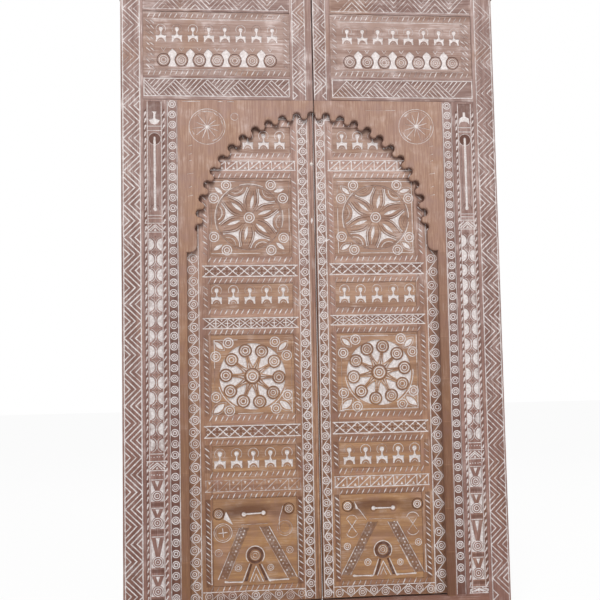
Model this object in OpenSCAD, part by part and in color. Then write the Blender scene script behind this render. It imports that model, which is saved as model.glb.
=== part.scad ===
// Pair of carved gate leaves with a scalloped arch, an inner wicket leaf in each, and their frame.
// Front faces -Y, +Z is up, the origin is the middle of the sill's underside. Millimetres.
// Leaf parts are drawn for the right leaf, as u outwards from the centre line, and mirrored for the left.

/* [Frame] */
// Height of the sill
sill_h = 30; // [28:1:60]
// Height of the head beam
head_h = 90; // [70:1:140]
// How far head and sill run past the leaves at each end
horn = 16; // [8:1:60]
// Width of a jamb
jamb_w = 75; // [60:1:90]
// Depth of a jamb
jamb_d = 70; // [50:1:110]
// Gap between the leaves' backs and the jambs
jamb_gap = 8; // [7:1:15]
// Radius of the wall fixing holes
fixing_r = 5; // [3:0.5:8]
// Distance between wall fixing holes
fixing_pitch = 600; // [450:10:650]
// Height of the lowest wall fixing hole
fixing_first = 350; // [150:10:450]

/* [Gate leaf widths] */
// Thickness of a gate leaf
gate_t = 60; // [54:1:70]
// Width of the heel stile
heel_stile_w = 90; // [84:1:120]
// Width of the tall side panel
side_panel_w = 95; // [90:1:130]
// Width of the post's rib that carries the strip of rings
rib_w = 42; // [40:1:60]
// Width of the arch board's leg beside the wicket
leg_w = 32; // [28:1:60]
// Thickness of the arch board
board_t = 22; // [18:1:26]
// Width of the short meeting stile above the arch
meeting_stile_w = 73; // [70:1:100]
// Gap between the two leaves where they meet
meeting_gap = 4; // [3:0.5:8]

/* [Gate leaf heights] */
// Gap above the sill and below the head
gate_gap = 6; // [4:1:12]
// Height of the bottom rail
bottom_rail_h = 60; // [50:1:120]
// Height of the herringbone rail
herring_rail_h = 100; // [90:1:140]
// Height of the transom panel
transom_h = 269; // [255:1:320]
// Height of the top rail
top_rail_h = 82; // [76:1:120]
// How far the arch board laps over the rail behind it
board_lap = 12; // [8:1:20]

/* [Arch] */
// How far the arch's mean scalloped edge stands in from the opening's edge
arch_inset = 50; // [44:1:58]
// Height of the board over the crown of the arch
arch_crown = 61; // [50:1:80]
// Radius of a scallop's notch
notch_r = 17; // [16.5:0.5:19]
// Scallops in a quarter circle
scallops = 12; // [10:1:12]
// Height of the foot block under the arch
foot_h = 98; // [80:1:130]
// How far the foot block stands into the opening
foot_w = 41; // [38:1:44]

/* [Wicket widths] */
// Width of the strip that covers the left wicket's meeting edge
astragal_w = 18; // [12:1:26]
// Width of a wicket's meeting stile
inner_stile_w = 77; // [72:1:100]
// Width of a wicket panel
panel_w = 336; // [330:1:380]
// Width of the wicket's heel stile that shows inside the opening
outer_stile_w = 91; // [84:1:110]
// Distance from the opening's edge to the wicket's pivot
heel_lap = 25; // [20:1:30]
// Gap between arch board and wicket
board_gap = 2; // [2:0.5:4]

/* [Wicket heights] */
// Gap under the wicket
wicket_gap = 6; // [4:1:10]
// Gap above the wicket
wicket_top_gap = 4; // [3:1:8]
// Wicket bottom rail
wicket_bottom_rail_h = 64; // [58:1:90]
// Compass panel
compass_h = 345; // [340:1:400]
// Lower band of squares
square_band_low_h = 103; // [80:1:120]
// Lower figure panel
figures_low_h = 104; // [98:1:130]
// Lower band of crosses
cross_band_low_h = 124; // [90:1:135]
// Wheel panel
wheel_h = 321; // [312:1:380]
// Middle band of crosses
cross_band_mid_h = 104; // [90:1:120]
// Middle figure panel
figures_mid_h = 104; // [98:1:130]
// Upper band of crosses
cross_band_high_h = 109; // [90:1:120]
// Rosette panel
rosette_h = 323; // [318:1:360]
// Upper band of squares
square_band_high_h = 106; // [90:1:120]
// Upper figure panel
figures_high_h = 107; // [104:1:130]
// Wicket top rail
wicket_top_rail_h = 89; // [70:1:100]

/* [Joinery] */
// Radius of a gate leaf's pivots
gate_pivot_r = 14; // [10:0.5:18]
// Radius of a wicket's pivots
wicket_pivot_r = 10; // [7:0.5:12]
// Play round a pivot in its socket
pivot_play = 0.08; // [0.03:0.01:0.1]
// Depth of the pivot sockets in sill and rails
socket_depth = 24; // [18:1:26]
// Depth of the gate's pivot sockets in the head
head_socket_depth = 40; // [30:1:60]
// Length of the gate rails' tenons
gate_tenon = 50; // [30:1:55]
// Length of the wicket rails' tenons
wicket_tenon = 40; // [25:1:48]
// Depth of the grooves that hold the panels
groove = 8; // [5:1:10]
// Radius of the dowels
peg_r = 5; // [3:0.5:6]

/* [Carving] */
// Depth of incised lines
line_cut = 2; // [1:0.5:3]
// Depth of the cut grounds between figures
ground_cut = 6; // [4:0.5:8]
// Length of one chevron along the band
chevron_pitch = 134; // [120:1:160]
// Width of the gate's chevron bands
chevron_w = 72; // [60:1:74]
// Distance between rings on the post's rib
rib_ring_pitch = 43; // [40:1:60]
// Distance between rings on the left wicket's heel stile
border_ring_pitch = 46; // [42:1:60]
// How much further apart they are on the right wicket
border_ring_extra = 9; // [0:1:14]
// Distance between rings on the wicket's meeting stile
meeting_ring_pitch = 41; // [38:1:60]
// Distance between rows of paired recesses in the side panel
recess_pitch = 61.3; // [56:0.1:66]
// Radius of the rosette and the wheel
medallion_r = 134; // [120:1:150]

/* [Hidden] */
$fn = 48;

// Small clearances: eps runs a cutter past a face, fit is the play of a joint glued or pegged dry
eps = 1;
fit = 0.2;
end_play = 0.3;
edge_chamfer = 4;

// Distances across the leaf, outwards from the centre line
stile_u = (astragal_w + meeting_gap) / 2;
panel_u = stile_u + inner_stile_w;
panel_end_u = panel_u + panel_w;
opening_u = panel_end_u + outer_stile_w;
leg_u = opening_u + leg_w;
rib_u = leg_u + rib_w;
heel_u = rib_u + side_panel_w;
edge_u = heel_u + heel_stile_w;
panel_mid_u = (panel_u + panel_end_u) / 2;
transom_u = stile_u + meeting_stile_w;

// Depths back from the front face of the leaves
wicket_d = board_t + board_gap;
wicket_t = gate_t - wicket_d;
wicket_axis_d = wicket_d + wicket_t / 2;
gate_axis_d = gate_t / 2;
jamb_front_d = gate_t + jamb_gap;
frame_d = jamb_front_d + jamb_d;

// Pivots
gate_axis_u = edge_u - gate_t / 2;
wicket_axis_u = opening_u + heel_lap;
heel_swell = 0.5;
wicket_heel_u = wicket_axis_u + wicket_t / 2;
post_clear = 8;
post_u = wicket_heel_u + post_clear;

// Heights of the wicket's members, from the bottom rail to the top rail
wicket_members = [
    wicket_bottom_rail_h, compass_h, square_band_low_h, figures_low_h, cross_band_low_h, wheel_h,
    cross_band_mid_h, figures_mid_h, cross_band_high_h, rosette_h, square_band_high_h,
    figures_high_h, wicket_top_rail_h
];
function sum_to(list, n) = n == 0 ? 0 : list[n - 1] + sum_to(list, n - 1);

// Levels
gate_z = sill_h + gate_gap;
strip_z = gate_z + bottom_rail_h;
wicket_z = strip_z + wicket_gap;
function level(i) = wicket_z + sum_to(wicket_members, i);
wicket_top_z = level(len(wicket_members));
mid_rail_z = wicket_top_z + wicket_top_gap;
board_top_z = mid_rail_z + board_lap;
transom_z = board_top_z + herring_rail_h;
top_rail_z = transom_z + transom_h;
gate_top_z = top_rail_z + top_rail_h;
head_z = gate_top_z + gate_gap;
arch_r = opening_u - arch_inset;
arch_z = board_top_z - arch_crown - arch_r;
foot_z = arch_z - foot_h;

// A scallop's lobe just meets the notch beside it
lobe_overlap = 0.17;
lobe_r = 2 * arch_r * sin(90 / scallops / 4) - notch_r + lobe_overlap;

// Tenons, tongues and panels
gate_tenon_d = gate_t * 0.38;
gate_tenon_t = 16;
wicket_tenon_d = wicket_d + 12;
wicket_tenon_t = 12;
tenon_inset = 12;
stub_tenon = 20;
tongue_t = 8;
panel_sink = 4;
panel_t = 16;
transom_sink = 5;
transom_t = 20;
side_sink = 1.5;
jamb_tenon = 20;
jamb_tenon_inset = 15;
peg_blind = 14;
wicket_peg_blind = 8;

// Carving
line_w = 5;
line_x = line_w * 0.7;
band_margin = (heel_stile_w - chevron_w) / 2;
nested_step = 22;
ring_w = 3.5;
strip_ring_r = 18;
meeting_ring_r = 15.5;
corner_ring_r = 20;
carve_end = 18;
wood = [0.58, 0.43, 0.34];
dark_wood = [0.47, 0.33, 0.25];
iron = [0.72, 0.72, 0.72];

// Y coordinate of a depth behind the front face
function at(d) = d - frame_d / 2;

// Whole number of steps of a pitch that fit in a length
function steps(length, pitch) = floor(length / pitch);

// Upright box from u0 to u1, z0 to z1 and, back from the front, d0 to d1
module slab(u0, u1, z0, z1, d0, d1)
    translate([u0, at(d0), z0]) cube([u1 - u0, d1 - d0, z1 - z0]);

// Upright round bar or bore
module round_bar(u, d, z0, z1, r)
    translate([u, at(d), z0]) cylinder(r = r, h = z1 - z0);

// Outline in u and z, cut into a face that lies d back
module sunk(d, cut)
    translate([0, at(d) + cut, 0]) rotate([90, 0, 0]) linear_extrude(cut + eps) children();

// A leaf part as drawn on the right, or mirrored to the left
module half(side)
    mirror([side < 0 ? 1 : 0, 0, 0]) children();

// Undoes that mirror for carving that leans the same way on both leaves
module same_way(side)
    mirror([side < 0 ? 1 : 0, 0]) children();

// Dowel or bore along the depth, from d0 to d1
module dowel(u, z, r, d0, d1)
    translate([u, at(d1), z]) rotate([90, 0, 0]) cylinder(r = r, h = d1 - d0);

// Flat outlines for the carving, drawn round the origin

module ring(r)
    difference() {
        circle(r = r);
        circle(r = r - ring_w);
    }

// V line that points to +x and opens at x = 0
module nested_v(tip, slope)
    polygon([
        [0, -slope * tip], [tip, 0], [0, slope * tip],
        [0, slope * (tip - 2 * line_x)], [tip - 2 * line_x, 0], [0, -slope * (tip - 2 * line_x)]
    ]);

// Band of chevrons along +y, w wide: a zigzag of separate bars, and two smaller chevrons in each bay
module chevron_band(w, length, pitch) {
    bays = steps(length, pitch / 2);
    half_pitch = length / bays;
    slope = half_pitch / w;
    for (i = [0:bays - 1])
        translate([w / 2, (i + 0.5) * half_pitch])
            mirror([i % 2 == 0 ? 0 : 1, 0])
                chevron_bar(w - 8, slope);
    for (i = [1:bays - 1])
        for (k = [1:2])
            translate([i % 2 == 0 ? w - 3 : 3, i * half_pitch])
                mirror([i % 2 == 0 ? 1 : 0, 0])
                    nested_v(w - 6 - k * nested_step, slope);
}

// Slanted bar, run wide, that rises by slope
module chevron_bar(run, slope)
    polygon([
        [-run / 2 - line_x, -slope * run / 2], [-run / 2 + line_x, -slope * run / 2],
        [run / 2 + line_x, slope * run / 2], [run / 2 - line_x, slope * run / 2]
    ]);

// Band of slanted hatching along +x, h high, in triangles that lean left and right in turn
module hatched_band(length, h, pitch) {
    bays = steps(length, pitch / 2);
    bay = length / bays;
    hatch = bay / 4;
    for (i = [0:bays - 1])
        for (k = [0:3]) {
            foot = i % 2 == 0 ? 0 : h;
            head = h * (1 - k / 4) - 4;
            y_end = i % 2 == 0 ? head : h - head;
            y_start = i % 2 == 0 ? 2 : h - 2;
            x0 = i * bay + k * hatch + hatch * 0.3;
            run = (y_end - y_start) * bay / h;
            shift = i % 2 == 0 ? -run : run;
            if (abs(y_end - y_start) > 8)
                polygon([
                    [x0 + bay * 0.9, y_start], [x0 + bay * 0.9 + line_w, y_start],
                    [x0 + bay * 0.9 + line_w + shift, y_end], [x0 + bay * 0.9 + shift, y_end]
                ]);
        }
}

// Row of cells with a cross in each, along +x
module cross_cells(length, h, count) {
    cell = length / count;
    for (i = [0:count - 1])
        translate([(i + 0.5) * cell, h / 2])
            for (s = [-1, 1])
                rotate(s * atan(h / cell))
                    square([norm([cell, h]) - 9, 4], center = true);
}

// Row of squares with one diagonal in each, along +x
module square_cells(length, h, count) {
    cell = length / count;
    for (i = [0:count - 1])
        polygon([
            [i * cell + 3, 2], [i * cell + 8, 2], [(i + 1) * cell - 3, h - 6],
            [(i + 1) * cell - 3, h - 2], [(i + 1) * cell - 8, h - 2], [i * cell + 3, 6]
        ]);
}

// Figure: an arched foot with hollow shoulders, a stem and a head
module figure_2d() {
    difference() {
        translate([-23.5, 0]) square([47, 33]);
        circle(r = 16);
        for (s = [-1, 1])
            translate([s * 16, 42]) circle(r = 12.5);
    }
    translate([-3.5, 27]) square([7, 28]);
    translate([0, 58]) circle(r = 9.5);
}

// Spearhead with a pointed top
module spearhead_2d()
    polygon([[-19, 0], [19, 0], [19, 58], [0, 84], [-19, 58]]);

// Petal between two circles, along +x from the centre
module petal_2d(length, width) {
    r = (length * length + width * width) / (4 * width);
    translate([length / 2, 0])
        intersection() {
            translate([0, r - width / 2]) circle(r = r);
            translate([0, width / 2 - r]) circle(r = r);
        }
}

// Frame members

module frame_head()
    color(dark_wood) difference() {
        slab(-edge_u - horn, edge_u + horn, head_z, head_z + head_h, 0, frame_d);
        for (s = [-1, 1]) {
            round_bar(s * gate_axis_u, gate_axis_d, head_z - eps, head_z + head_socket_depth,
                gate_pivot_r + pivot_play);
            half(s) jamb_tenons(fit);
        }
        frame_peg_bores();
    }

module frame_sill()
    color(dark_wood) difference() {
        slab(-edge_u - horn, edge_u + horn, 0, sill_h, 0, frame_d);
        for (s = [-1, 1]) {
            round_bar(s * gate_axis_u, gate_axis_d, sill_h - socket_depth, sill_h + eps,
                gate_pivot_r + pivot_play);
            half(s) jamb_tenons(fit);
        }
    }

module jamb_tenons(play)
    for (span = [[sill_h - jamb_tenon - play, sill_h + eps], [head_z - eps, head_z + 2 * jamb_tenon + play]])
        slab(edge_u - jamb_w + jamb_tenon_inset - play, edge_u - jamb_tenon_inset + play,
            span[0], span[1], jamb_front_d + jamb_tenon_inset - play,
            frame_d - jamb_tenon_inset + play);

module frame_jamb(side)
    color(dark_wood) half(side) difference() {
        union() {
            slab(edge_u - jamb_w, edge_u, sill_h, head_z, jamb_front_d, frame_d);
            jamb_tenons(0);
        }
        for (i = [0:3])
            translate([edge_u - jamb_w - eps, at(jamb_front_d + jamb_d / 2), fixing_first + i * fixing_pitch])
                rotate([0, 90, 0]) cylinder(r = fixing_r, h = jamb_w + 2 * eps);
        frame_peg_bores();
    }

// Dowels from the back through the head and the jambs' top tenons
module frame_peg_set(r, d0, d1)
    for (s = [-1, 1])
        dowel(s * (edge_u - jamb_w / 2), head_z + jamb_tenon, r, d0, d1);

module frame_peg_bores()
    frame_peg_set(peg_r + fit / 2, jamb_front_d - peg_blind, frame_d + eps);

module frame_pegs()
    color(wood) frame_peg_set(peg_r, jamb_front_d - peg_blind + end_play, frame_d);

// Gate rails as [z0, z1]
gate_rails = [
    [gate_z, strip_z], [mid_rail_z, transom_z], [top_rail_z, gate_top_z]
];

// Tenons of a gate rail: into the heel stile, and into the meeting stile where there is one
module gate_rail_tenons(i, play) {
    z0 = gate_rails[i][0] + tenon_inset - play;
    z1 = gate_rails[i][1] - tenon_inset + play;
    slab(heel_u - eps, heel_u + gate_tenon + play, z0, z1, gate_tenon_d - play,
        gate_tenon_d + gate_tenon_t + play);
    if (i > 0)
        slab(transom_u - wicket_tenon - play, transom_u + eps, z0, z1, gate_tenon_d - play,
            gate_tenon_d + gate_tenon_t + play);
}

// Dowels through those tenons
module gate_peg_set(r, d0, d1)
    for (i = [0:2]) {
        z = (gate_rails[i][0] + gate_rails[i][1]) / 2;
        dowel(heel_u + gate_tenon / 2, z, r, d0, d1);
        if (i > 0)
            dowel(transom_u - wicket_tenon / 2, z, r, d0, d1);
    }

module gate_peg_bores()
    gate_peg_set(peg_r + fit / 2, peg_blind, gate_t + eps);

module gate_pegs(side)
    color(wood) half(side) gate_peg_set(peg_r, peg_blind + end_play, gate_t);

module transom_tongue(play)
    slab(transom_u - groove - play, heel_u + groove + play, transom_z - groove - play,
        top_rail_z + groove + play, transom_sink + 6 - play, transom_sink + 6 + tongue_t + play);

module gate_heel_stile(side)
    color(wood) half(side) difference() {
        union() {
            difference() {
                slab(heel_u, edge_u, gate_z, gate_top_z, 0, gate_t);
                heel_edge_cuts();
            }
            round_bar(gate_axis_u, gate_axis_d, sill_h - socket_depth + end_play, gate_z + eps, gate_pivot_r);
            round_bar(gate_axis_u, gate_axis_d, gate_top_z - eps,
                head_z + head_socket_depth - end_play, gate_pivot_r);
        }
        for (i = [0:2])
            gate_rail_tenons(i, fit);
        transom_tongue(fit);
        gate_peg_bores();
        sunk(0, line_cut) translate([heel_u + band_margin, strip_z + carve_end])
            chevron_band(chevron_w, gate_top_z - strip_z - 2 * carve_end, chevron_pitch);
    }

// Rounded back corner and bevelled front corner of the heel
module heel_edge_cuts() {
    difference() {
        slab(gate_axis_u, edge_u + eps, gate_z - eps, gate_top_z + eps, gate_axis_d, gate_t + eps);
        round_bar(gate_axis_u, gate_axis_d, gate_z - 2 * eps, gate_top_z + 2 * eps,
            gate_t / 2 + heel_swell);
    }
    translate([0, 0, gate_z - eps]) linear_extrude(gate_top_z - gate_z + 2 * eps)
        polygon([
            [edge_u - edge_chamfer, at(-eps)], [edge_u + eps, at(-eps)],
            [edge_u + eps, at(edge_chamfer)], [edge_u, at(edge_chamfer)],
            [edge_u - edge_chamfer, at(0)]
        ]);
}

module gate_top_rail(side)
    color(wood) half(side) difference() {
        union() {
            slab(transom_u, heel_u, top_rail_z, gate_top_z, 0, gate_t);
            gate_rail_tenons(2, 0);
        }
        transom_tongue(fit);
        gate_peg_bores();
        sunk(0, line_cut) translate([heel_u - 6, top_rail_z + (top_rail_h - chevron_w) / 2]) rotate(90)
            chevron_band(chevron_w, heel_u - transom_u - 12, chevron_pitch);
    }

// The left leaf's short stile is wider by the astragal's width
function meeting_edge(side) = side < 0 ? stile_u - astragal_w : stile_u;
function meeting_band_u(side) = side < 0 ? stile_u + 9 : stile_u + 3;

module gate_meeting_stile(side)
    color(wood) half(side) difference() {
        slab(meeting_edge(side), transom_u, mid_rail_z, gate_top_z, 0, gate_t);
        board_rebate();
        for (i = [1:2])
            gate_rail_tenons(i, fit);
        transom_tongue(fit);
        gate_peg_bores();
        sunk(0, line_cut) translate([meeting_band_u(side), board_top_z + 6])
            chevron_band(meeting_stile_w - 13, gate_top_z - board_top_z - 12, chevron_pitch);
    }

// Space of the arch board, rib and side panel in the front of the mid rail
module board_rebate()
    slab(-astragal_w, heel_u + eps, mid_rail_z - eps, board_top_z, -eps, board_t);

module gate_transom_panel(side)
    color(wood) half(side) difference() {
        union() {
            slab(transom_u, heel_u, transom_z, top_rail_z, transom_sink, transom_sink + transom_t);
            transom_tongue(0);
        }
        transom_carving();
    }

// Rows of figures, spearheads and rings in the transom panel, with the line above them
transom_border = 26;
ring_row_step = 73.6;
figure_row_step = 65.6;
transom_mid_u = (transom_u + heel_u) / 2;
module transom_carving() {
    sunk(transom_sink, line_cut)
        translate([transom_u + transom_border, top_rail_z - 54])
            square([heel_u - transom_u - 2 * transom_border, 4]);
    translate([transom_mid_u, 0, 0]) {
        sunk(transom_sink, ground_cut)
            for (i = [-3.5:3.5])
                translate([i * figure_row_step, transom_z + 138]) figure_2d();
        sunk(transom_sink, ground_cut)
            difference() {
                for (i = [-2.5:2.5])
                    translate([i * ring_row_step, transom_z + 37]) spearhead_2d();
                for (i = [-3:3])
                    translate([i * ring_row_step, transom_z + 76]) circle(r = corner_ring_r + 4);
            }
        sunk(transom_sink, line_cut)
            for (i = [-3:3])
                translate([i * ring_row_step, transom_z + 76]) {
                    ring(corner_ring_r);
                    ring(corner_ring_r / 2);
                }
    }
}

module gate_herringbone_rail(side)
    color(wood) half(side) difference() {
        union() {
            slab(transom_u, heel_u, mid_rail_z, transom_z, 0, gate_t);
            gate_rail_tenons(1, 0);
        }
        board_rebate();
        transom_tongue(fit);
        gate_peg_bores();
        post_stubs(fit);
        round_bar(wicket_axis_u, wicket_axis_d, mid_rail_z - eps, mid_rail_z + socket_depth,
            wicket_pivot_r + pivot_play);
        sunk(0, line_cut) translate([transom_u + 6, board_top_z + 12])
            hatched_band(heel_u - transom_u - 40, herring_rail_h - 24, 124);
    }

module gate_bottom_rail(side)
    color(wood) half(side) difference() {
        union() {
            slab(meeting_edge(side), heel_u, gate_z, strip_z, 0, gate_t);
            gate_rail_tenons(0, 0);
        }
        gate_peg_bores();
        post_stubs(fit);
        round_bar(wicket_axis_u, wicket_axis_d, strip_z - socket_depth, strip_z + eps,
            wicket_pivot_r + pivot_play);
    }

// Stub tenons at the ends of the post
module post_stubs(play)
    for (span = [[strip_z - stub_tenon - play, strip_z + eps], [mid_rail_z - eps, mid_rail_z + stub_tenon + play]])
        slab(post_u + 20 - play, heel_u - 20 + play, span[0], span[1],
            board_t + 12 - play, board_t + 12 + gate_tenon_t + play);

module gate_post(side)
    color(wood) half(side) difference() {
        union() {
            slab(leg_u, rib_u, strip_z, board_top_z, 0, board_t);
            slab(post_u, heel_u, strip_z, mid_rail_z, board_t, gate_t);
            post_stubs(0);
        }
        leg_tongue(fit);
        sunk(0, line_cut)
            for (i = [0:steps(board_top_z - strip_z - 2 * carve_end - strip_ring_r, rib_ring_pitch)])
                translate([(leg_u + rib_u) / 2, strip_z + carve_end + strip_ring_r + i * rib_ring_pitch])
                    ring(strip_ring_r);
    }

// Tongue of the arch board's edge in the post
module leg_tongue(play)
    slab(leg_u - eps, leg_u + groove + play, strip_z - play, board_top_z + play,
        board_t / 2 - tongue_t / 2 - play, board_t / 2 + tongue_t / 2 + play);

// Opening of the arch board, as an outline in u and z
module arch_opening() {
    foot_inner_u = opening_u - foot_w;
    round_r = 28;
    step = 90 / scallops;
    difference() {
        union() {
            translate([-2 * astragal_w, strip_z - eps])
                square([opening_u + 2 * astragal_w, foot_z - strip_z + eps]);
            translate([-2 * astragal_w, strip_z])
                square([foot_inner_u + 2 * astragal_w, arch_z - strip_z]);
            translate([foot_inner_u - eps, foot_z - eps]) square([round_r + eps, round_r + eps]);
            translate([0, arch_z]) circle(r = arch_r);
        }
        translate([foot_inner_u + round_r, foot_z + round_r]) circle(r = round_r);
        for (k = [0:scallops - 1])
            translate([0, arch_z]) rotate((k + 0.5) * step) translate([arch_r, 0]) circle(r = lobe_r);
    }
    for (k = [0:scallops])
        translate([0, arch_z]) rotate(k * step) translate([arch_r, 0]) circle(r = notch_r);
}

// Wheel rosette in the arch board's corner
spandrel_u = 436;
spandrel_drop = 104;
module gate_arch_board(side)
    color(wood) half(side) {
        difference() {
            union() {
                slab(meeting_edge(side), leg_u, strip_z, board_top_z, 0, board_t);
                leg_tongue(0);
            }
            translate([0, at(board_t) + eps, 0]) rotate([90, 0, 0])
                linear_extrude(board_t + 2 * eps) arch_opening();
            sunk(0, line_cut / 2) translate([spandrel_u, board_top_z - spandrel_drop]) {
                ring(74);
                for (k = [0:11])
                    rotate(k * 30) translate([12, -1.5]) square([50, 3]);
            }
        }
    }

// Side panel, from the bottom: ring cells, a tile of triangles, paired recesses, a tile, the niche
side_mid_u = (rib_u + heel_u) / 2;
recess_r = 21;
recess_flat = 29.5;
recess_rows = 14;
cell_ring_r = 26;
module gate_side_panel(side) {
    recess_z = strip_z + 627;
    tile_z = recess_z + recess_rows * recess_pitch - recess_pitch / 2;
    niche_z = strip_z + 1534;
    first_cell = side < 0 ? 38 : 110;
    cell_step = side < 0 ? 111 : 108;
    cell_pair = side < 0 ? 270 : 260;
    color(wood) half(side) difference() {
        slab(rib_u, heel_u, strip_z, board_top_z, side_sink, board_t);
        for (u = [rib_u - eps, heel_u - 4])
            slab(u, u + 4 + eps, strip_z - eps, board_top_z + eps, 0, side_sink + 3);
        translate([side_mid_u, 0, 0]) {
            sunk(side_sink, ground_cut)
                for (i = [0:recess_rows - 1])
                    for (s = [-1, 1])
                        translate([s * recess_flat, recess_z + i * recess_pitch])
                            difference() {
                                circle(r = recess_r);
                                translate([s > 0 ? 0 : -30, -30]) square([30, 60]);
                            }
            sunk(side_sink, line_cut)
                for (z = [recess_z - recess_pitch - 30, tile_z + 20])
                    for (i = [-1:1])
                        translate([i * 22, z]) polygon([[-9, 0], [9, 0], [0, 28]]);
            sunk(side_sink, line_cut)
                for (k = [0:3])
                    translate([0, strip_z + first_cell + cell_step * (k % 2) + cell_pair * floor(k / 2)]) {
                        ring(cell_ring_r);
                        ring(cell_ring_r / 2);
                        translate([0, 34]) polygon([[-26, 38], [0, 0], [26, 38], [16, 38], [0, 14], [-16, 38]]);
                    }
            sunk(side_sink, ground_cut) {
                translate([-6, niche_z + 40]) square([12, 276]);
                translate([0, niche_z + 40]) circle(r = 11);
            }
            sunk(side_sink, line_cut) {
                translate([0, niche_z + 316]) ring(26);
                for (z = [0, 14, 346, 364])
                    translate([-28, niche_z + z]) square([56, 4]);
                translate([-26, niche_z + 392]) square([52, 72]);
            }
        }
    }
}

// Wicket members

module wicket_rail_tenons(i, play)
    slab(panel_u - wicket_tenon - play, panel_end_u + wicket_tenon + play,
        level(i) + tenon_inset - play, level(i + 1) - tenon_inset + play,
        wicket_tenon_d - play, wicket_tenon_d + wicket_tenon_t + play);

module wicket_tongue(i, play)
    slab(panel_u - groove - play, panel_end_u + groove + play,
        level(i) - groove - play, level(i + 1) + groove + play,
        wicket_d + panel_sink + 5 - play, wicket_d + panel_sink + 5 + tongue_t + play);

// Rails are the even members and panels the odd ones
module wicket_peg_set(r, d0, d1)
    for (i = [0:2:12])
        for (u = [panel_u - wicket_tenon / 2, panel_end_u + wicket_tenon / 2])
            dowel(u, (level(i) + level(i + 1)) / 2, r, d0, d1);

module wicket_peg_bores()
    wicket_peg_set(peg_r + fit / 2, wicket_d + wicket_peg_blind, gate_t + eps);

module wicket_pegs(side)
    color(wood) half(side)
        wicket_peg_set(peg_r, wicket_d + wicket_peg_blind + end_play, gate_t);

module wicket_joint_cuts() {
    for (i = [0:2:12])
        wicket_rail_tenons(i, fit);
    for (i = [1:2:11])
        wicket_tongue(i, fit);
    wicket_peg_bores();
}

module wicket_heel_stile(side) {
    pitch = border_ring_pitch + (side < 0 ? 0 : border_ring_extra);
    color(wood) half(side) difference() {
        union() {
            difference() {
                slab(panel_end_u, wicket_heel_u, wicket_z, wicket_top_z, wicket_d, gate_t);
                difference() {
                    slab(wicket_axis_u, wicket_heel_u + eps, wicket_z - eps, wicket_top_z + eps,
                        wicket_d - eps, gate_t + eps);
                    round_bar(wicket_axis_u, wicket_axis_d, wicket_z - 2 * eps, wicket_top_z + 2 * eps,
                        wicket_t / 2 + heel_swell);
                }
            }
            round_bar(wicket_axis_u, wicket_axis_d, strip_z - socket_depth + end_play,
                wicket_z + eps, wicket_pivot_r);
            round_bar(wicket_axis_u, wicket_axis_d, wicket_top_z - eps,
                mid_rail_z + socket_depth - end_play, wicket_pivot_r);
        }
        wicket_joint_cuts();
        sunk(wicket_d, line_cut)
            for (i = [0:steps(arch_z - wicket_z - 2 * carve_end - strip_ring_r, pitch)])
                translate([opening_u - 25, wicket_z + carve_end + strip_ring_r + i * pitch])
                    ring(strip_ring_r);
    }
}

module wicket_meeting_stile(side)
    color(wood) half(side) difference() {
        slab(stile_u, panel_u, wicket_z, wicket_top_z, wicket_d, gate_t);
        wicket_joint_cuts();
        sunk(wicket_d, line_cut)
            for (i = [0:steps(wicket_top_z - wicket_z - 2 * carve_end - 2 * meeting_ring_r, meeting_ring_pitch)])
                translate([stile_u + 24, wicket_z + carve_end + meeting_ring_r + i * meeting_ring_pitch])
                    ring(meeting_ring_r);
    }

// Rail i of the wicket with its tenons, grooved for the panels above and below
module wicket_rail(side, i)
    color(wood) half(side) difference() {
        union() {
            slab(panel_u, panel_end_u, level(i), level(i + 1), wicket_d, gate_t);
            wicket_rail_tenons(i, 0);
        }
        for (k = [i - 1, i + 1])
            if (k > 0 && k < 12)
                wicket_tongue(k, fit);
        wicket_peg_bores();
        if ($children > 0)
            sunk(wicket_d, line_cut) translate([panel_u, level(i)]) children();
    }

band_cells_h = 46;
function band_inset(i) = (level(i + 1) - level(i) - band_cells_h) / 2;
cross_count = 8;
square_count = 8;
module cross_band(side, i)
    wicket_rail(side, i)
        translate([6, band_inset(i)])
            cross_cells(panel_w - 12, band_cells_h, cross_count);

module square_band(side, i)
    wicket_rail(side, i)
        translate([panel_w / 2, band_inset(i)]) same_way(side) translate([6 - panel_w / 2, 0])
            square_cells(panel_w - 12, band_cells_h, square_count);

// Panel i of the wicket, children are cut as ground round the panel's middle
module wicket_panel(side, i)
    color(wood) half(side) difference() {
        union() {
            slab(panel_u, panel_end_u, level(i), level(i + 1), wicket_d + panel_sink,
                wicket_d + panel_sink + panel_t);
            wicket_tongue(i, 0);
        }
        translate([panel_mid_u, 0, (level(i) + level(i + 1)) / 2]) {
            sunk(wicket_d + panel_sink, ground_cut) children(0);
            sunk(wicket_d + panel_sink, line_cut) children(1);
        }
    }

figure_step = 66.5;
module figure_panel(side, i)
    wicket_panel(side, i) {
        for (k = [-2:2])
            translate([k * figure_step, -37]) figure_2d();
        for (k = [-2.5:2.5])
            translate([k * figure_step, 40]) square([2, 10], center = true);
    }

// Eight small rings and a leaf in each corner, shared by rosette and wheel
module corner_rings()
    for (sx = [-1, 1])
        for (sy = [-1, 1]) {
            translate([sx * 96, sy * 132]) ring(corner_ring_r);
            translate([sx * 147, sy * 80]) ring(corner_ring_r);
        }

petals = 6;
hub_r = 24;
lunette_r = 24;
module rosette_panel(side, i)
    wicket_panel(side, i) {
        same_way(side) {
            difference() {
                circle(r = medallion_r - 14);
                for (k = [0:petals - 1])
                    rotate(k * 60 + 82) petal_2d(medallion_r + 10, 58);
                for (k = [0:petals - 1])
                    rotate(k * 60 + 112) translate([medallion_r - 14, 0]) circle(r = lunette_r);
                circle(r = hub_r);
            }
            for (k = [0:petals - 1])
                rotate(k * 60 + 82) translate([40, 0]) petal_2d(70, 14);
        }
        union() {
            corner_rings();
            ring(hub_r - 6);
        }
    }

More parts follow.
